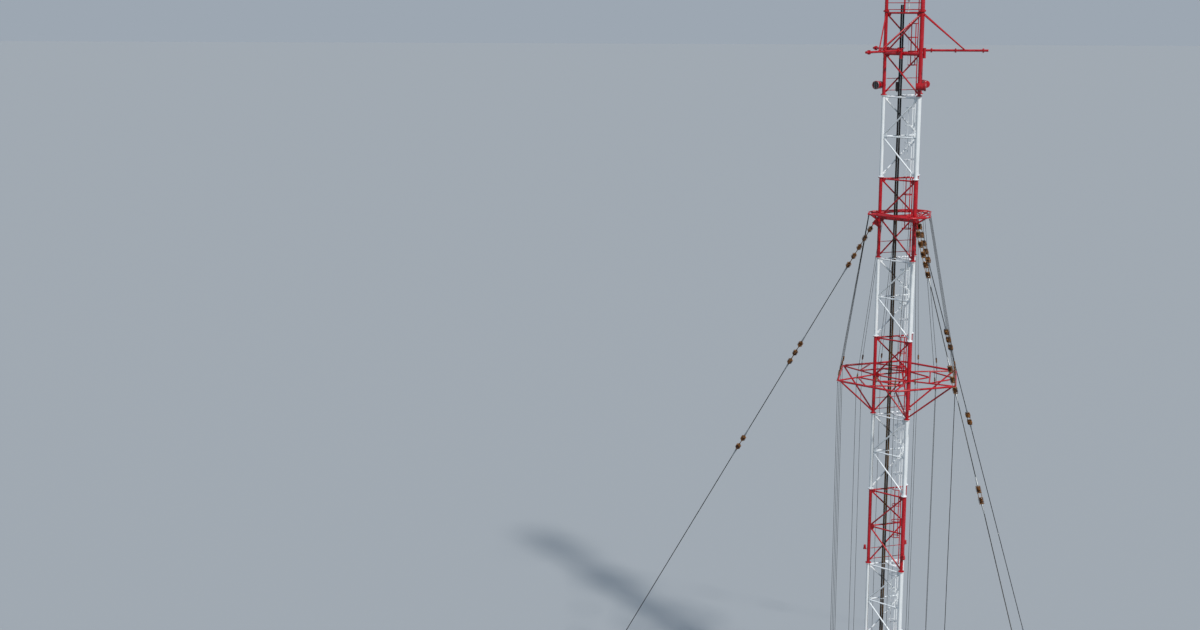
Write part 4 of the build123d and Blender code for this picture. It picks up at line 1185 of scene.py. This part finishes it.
# %% [markdown]
# ## Guys
# Each guy starts at a lug on its leg. A chain of porcelain strain insulators, held between
# forged yokes by pairs of rods, keeps the mast's voltage off the long rope. The rope is six
# strands laid together, so its section is a ring of lobes that turns along the way. A bump on a
# smooth bar would be cheaper, but the mesh itself would stay smooth.

# %% The line of a guy
PIN = np.array([1.075, 0, TOP_Z - 2.5 * SECTION - 0.250])
ANCHOR_PIN = 0.620
SPREAD = 0.555         # metres out for each metre down
DOWN = unit(np.array([SPREAD, 0, -1]))
ACROSS = unit(np.array([1, 0, SPREAD]))
SIDEWAYS = np.array([0.0, 1.0, 0.0])
GUY_LENGTH = (PIN[2] - ANCHOR_PIN) * hypot(SPREAD, 1)
YOKE, BODY, UNIT = 0.026, 0.190, 0.390
YOKE_ARM, YOKE_ROUND, YOKE_BOSS = 0.070, 0.025, 0.036
LINKED = 2 * YOKE + BODY
ROD_SIDES = (-0.065, 0.065)
CLUSTERS = ((0.110, 5), (5.220, 3), (9.580, 2))      # start of each chain and its insulators
ROPE, SOCKET, TENSIONER = 0.0175, 0.34, 0.900
GROOVE = 0.84          # share of the rope's radius between two strands
SWING = 2.3            # degrees about the leg, to where the anchor stands


def along(distance, side=0.0):
    """Point down the line of a guy from its pin, and to one side of it."""
    return PIN + DOWN * distance + SIDEWAYS * side


def on_guy(low, high, rings, sides, offsets=(0.0,)):
    """Bars along the guy between two distances from its pin, each beside its line by an offset."""
    starts, ends = ([along(distance, side) for side in offsets] for distance in (low, high))
    return bars(starts, ends, rings, sides)


# %% Yokes and laid rope


def yoke(distance):
    """Forged yoke across the guy: a rounded bar with a boss and the two rod ends on it. The bar's
    outline is x = arm s + r cos a, y = r sin a, where s is the sign of cos a, or 0 where cos a
    is small."""
    a = np.linspace(0, 2 * pi, 24, endpoint=False)
    end = np.sign(np.cos(a)) * (np.abs(np.cos(a)) > 0.3)
    outline = np.stack([YOKE_ARM * end + YOKE_ROUND * np.cos(a), YOKE_ROUND * np.sin(a)], 1)
    return together(plates(outline, along(distance + YOKE / 2), SIDEWAYS, ACROSS, YOKE - 0.004),
                    on_guy(distance + 0.002, distance + YOKE - 0.002, plain(YOKE_BOSS, 0.003), 20),
                    bolts([along(distance, side) for side in ROD_SIDES], -DOWN, 0.016, 0.012))


def lay_rope(start, end, radius, strands=6, turn_length=0.30):
    """Rope of laid strands: corners at r and GROOVE r in turn round its middle, which turn by
    2 pi d / t on their way d, where t is the length of a turn."""
    way, length, level, rise = directions(rows(start), rows(end))
    length, sides = length[0, 0], strands * 2
    steps = max(4, int(length / turn_length * 6))
    k = np.arange(sides)
    s = np.linspace(0, 1, steps + 1)
    a = k * 2 * pi / sides + s[:, None] * length / turn_length * 2 * pi
    lobes = radius * np.where(k % 2 == 0, 1.0, GROOVE)[:, None]
    points = (start + (s * length)[:, None, None] * way[0]
              + lobes * (np.cos(a)[:, :, None] * level[0] + np.sin(a)[:, :, None] * rise[0]))
    row = np.arange(steps)[:, None] * sides
    quads = np.stack([row + k, row + k + sides, row + (k + 1) % sides + sides, row + (k + 1) % sides], -1)
    return shape(points, [quads.reshape(-1, 4), k[None, :], (k[None, ::-1] + steps * sides)])


# %% Chains and ropes


def guys(*shapes):
    """Turns the pieces of one guy a little about its leg, to its anchor, and repeats them."""
    at_leg = np.array([LEG_CIRCLE, 0, 0])
    return at_legs(moved(turned(moved(together(*shapes), -at_leg), SWING), at_leg))


bodies, ropes, tails, sockets = [], [], [], []
irons = [on_guy(0.0, CLUSTERS[0][0], [(0, -0.02, 0.016), (1, 0, 0.016)], 16)]
rod = both_ends((0, 0.0105))
for start, count in CLUSTERS:
    for number in range(count):
        head = start + number * UNIT
        bodies.append(on_guy(head + YOKE, head + YOKE + BODY, sheds(BODY, 0.056, 0.099, 5, 0.012), 36))
        irons += [yoke(head), yoke(head + YOKE + BODY)]
        if number < count - 1:
            irons.append(on_guy(head + LINKED - 0.004, head + UNIT + 0.004, rod, 12, ROD_SIDES))
    tails.append(head + LINKED)
socket = (from_start((0, 0.030), (0.006, 0.034), (0.05, 0.034), (0.16, 0.026))
          + from_end((0, 0.018), (0.01, 0.021)))
for low, high in zip(tails, [start for start, _ in CLUSTERS[1:]] + [GUY_LENGTH - TENSIONER]):
    ropes.append(lay_rope(along(low), along(high), ROPE))
    sockets += [on_guy(low, low + SOCKET, socket, 20), on_guy(high, high - SOCKET, socket, 20)]
put("guy_insulator_bodies", guys(*bodies), PORCELAIN, "guy_insulators")
put("guy_yokes", guys(*irons), RUSTY, "guy_links")
put("guy_strand", guys(*ropes), WIRE_ROPE, "guy_ropes")
put("rope_sockets", guys(*sockets), ZINC, "guy_ropes")

# %% Lugs
NOSE = 0.060           # half the width of a plate at its pin
SEATED = LEG_CIRCLE + 0.055
BLOCK_TOP = 0.45


def pin_across(place, half_length, radius):
    """Short pin through a plate, level and square to the guy."""
    half = SIDEWAYS * half_length
    return bars(place - half, place + half, plain(radius, 0.002), 16)


over, under = (PIN + ACROSS * s * NOSE for s in (1, -1))
lug_low, lug_high = PIN[2] - 0.100, PIN[2] + 0.300
pieces = [wall([(SEATED, lug_high), (SEATED, lug_low), (under[0], under[2]), (over[0], over[2])], 0.024)]
collar = both_ends((0, 0.064), (0, 0.092))
pieces += [upright(LEG, z - 0.006, z + 0.006, collar)
           for z in (lug_high - 0.015, lug_low + 0.015, PIN[2] + 0.100)]
eye = PIN - DOWN * 0.035
pieces += [pin_across(eye, 0.030, 0.020),
           boxes([eye + DOWN * 0.030 + SIDEWAYS * s * 0.020 for s in (-1, 1)], DOWN, ACROSS,
                 (0.095, 0.052, 0.012))]
put("lugs", guys(*pieces), RED, "guy_lugs")

# %% Tensioners
top, bottom = GUY_LENGTH - TENSIONER, GUY_LENGTH - YOKE
end = along(GUY_LENGTH)
over, under = (end + ACROSS * s * NOSE for s in (1, -1))
thread = (from_start((0, 0.012), *[(0.30 + 0.01 * k, 0.012 - 0.0015 * (k % 2)) for k in range(24)])
          + from_end((0, 0.012)))
pieces = [yoke(top), yoke(bottom), on_guy(top + YOKE, bottom, thread, 12, ROD_SIDES),
          bolts([along(bottom - 0.006, side) for side in ROD_SIDES], -DOWN, 0.020, 0.016),
          wall([(under[0], under[2]), (end[0] - 0.120, BLOCK_TOP), (end[0] + 0.360, BLOCK_TOP),
                (over[0] + 0.120, over[2] - 0.060), (over[0], over[2])], 0.030),
          pin_across(end + DOWN * 0.045, 0.034, 0.018)]
put("tensioners", guys(*pieces), FORGED, "guy_tensioners")

# %% Anchor blocks
SQUARE = ((-1, -1), (1, -1), (1, 1), (-1, 1))


def cast_block(half_x, half_y, high, ease, x=0.0):
    """Concrete block on the ground with eased top edges: three rings of four corners."""
    levels = [(half_x, half_y, 0.0), (half_x, half_y, high - ease), (half_x - ease, half_y - ease, high)]
    points = [(x + sx * a, sy * b, z) for a, b, z in levels for sx, sy in SQUARE]
    quads = [[4 * r + k, 4 * r + (k + 1) % 4, 4 * r + 4 + (k + 1) % 4, 4 * r + 4 + k]
             for r in range(2) for k in range(4)]
    return shape(points, [np.array(quads + [[3, 2, 1, 0], [8, 9, 10, 11]])])


put("anchor_blocks", guys(cast_block(0.55, 0.40, BLOCK_TOP, 0.02, end[0])), CONCRETE, "guy_anchors")

# %% [markdown]
# ## Foot
# The three legs run together to a thick head plate, which rests on a turned bearing on the
# plinth. None of this is in the photo, so it follows what such masts stand on. It is made with
# the helpers of the mast above: turned outlines for the plates and the bearing, bars for the
# legs and a plate for each rib, so that it looks of one make with the rest.

# %% Foot
PLINTH, HEAD_Z = 0.500, 0.740
PLATE_RING = ((0, 0.276), (0.003, 0.279))
JOINT_Z = BASE_Z - FLANGE
foot = [upright((0, 0), HEAD_Z, HEAD_Z + 0.040, both_ends(*PLATE_RING), 48)]
tops = [point(LEG_CIRCLE, turn, JOINT_Z) for turn in LEG_TURNS]
lows = [point(0.150, turn, HEAD_Z + 0.020) for turn in LEG_TURNS]
foot.append(bars(lows, tops, [(0, 0.02, LEG_RADIUS), (1, -0.004, LEG_RADIUS)], 28))
foot.append(bars(tops, tops + UP * FLANGE, plain(FLANGE_RADIUS, FLANGE_EASE), 28))
rib = moved(wall([(0.030, 0.040), (0.262, 0.040), (0.240, 0.075), (0.262, 0.190)], 0.014), UP * HEAD_Z)
for place, turn in zip(tops, LEG_TURNS):
    foot.append(bolts(circle(place, BOLT_CIRCLE, FLANGE_BOLTS, JOINT_Z), -UP))
    foot.append(turned(rib, turn))
put("foot_legs", foot, RED, "foot_frame")
bearing = [upright((0, 0), PLINTH, HEAD_Z,
                   from_start(*PLATE_RING, (0.037, 0.279), (0.040, 0.276), (0.040, 0.148), (0.110, 0.148),
                              (0.118, 0.140), (0.122, 0.140), (0.130, 0.148))
                   + from_end((0, 0.110), (0.004, 0.120), (0.012, 0.148)), 48),
           bolts(circle((0, 0), 0.225, 12, PLINTH + 0.040), UP, 0.014, 0.014)]
put("bearing", bearing, FORGED, "foot_bearing")
put("plinth_block", cast_block(0.55, 0.55, PLINTH, 0.06), CONCRETE, "plinth")

# %% [markdown]
# ## Floor and light
# A plain pale floor and backdrop, with one soft sun from the right as in the photo. The fill
# light is blue from above and dim from below, as over fields, so the undersides of the tubes
# stay dark. For the same reason the floor takes shadows but sends no light back up. The
# backdrop has the floor's tone, and only the camera, reflections and glass see it.

# %% Sky and sun
SUN_AZIMUTH, SUN_TILT, SUN_WIDTH = 42, 46, 4      # degrees
FLOOR_REACH, FLOOR_Z = 900.0, -0.002
scene = bpy.context.scene
world = bpy.data.worlds.new("studio")
scene.world = world
world.use_nodes = True
tree = world.node_tree
tree.nodes.clear()
rays = add(tree, "ShaderNodeLightPath").outputs
seen = combine(tree, "MAXIMUM", rays["Is Camera Ray"], rays["Is Glossy Ray"])
seen = combine(tree, "MAXIMUM", seen, rays["Is Transmission Ray"])
sky = blend(tree, ramp(tree, height_of(tree, "Generated"), -0.25, 0.35), "#9AA09E", "#CBE0F6")
fill = add(tree, "ShaderNodeBackground", {"Strength": 0.58}, Color=sky).outputs[0]
back = add(tree, "ShaderNodeBackground", {"Color": linear("#9DA7B2"), "Strength": 1.0}).outputs[0]
mixed = add(tree, "ShaderNodeMixShader", None, i0=seen, i1=fill, i2=back).outputs[0]
add(tree, "ShaderNodeOutputWorld", None, Surface=mixed)

sun_data = bpy.data.lights.new("soft_sun", "SUN")
sun_data.energy, sun_data.angle = 2.9, radians(SUN_WIDTH)
sun_data.color = (1.0, 0.97, 0.92)
sun = bpy.data.objects.new("soft_sun", sun_data)
sun.matrix_world = (Matrix.Rotation(radians(SUN_AZIMUTH), 4, "Z")
                    @ Matrix.Rotation(radians(SUN_TILT), 4, "X"))
scene.collection.objects.link(sun)

# %% Floor
floor_mesh = bpy.data.meshes.new("floor")
floor_corners = [(x * FLOOR_REACH, y * FLOOR_REACH, FLOOR_Z) for x, y in SQUARE]
floor_mesh.from_pydata(floor_corners, [], [(0, 1, 2, 3)])
floor = bpy.data.objects.new("floor", floor_mesh)
scene.collection.objects.link(floor)
material, tree = new_material("pale_floor")
finish(tree, linear("#9FA3A7"), 0.95)
floor_mesh.materials.append(material)
floor.visible_diffuse = floor.visible_glossy = False
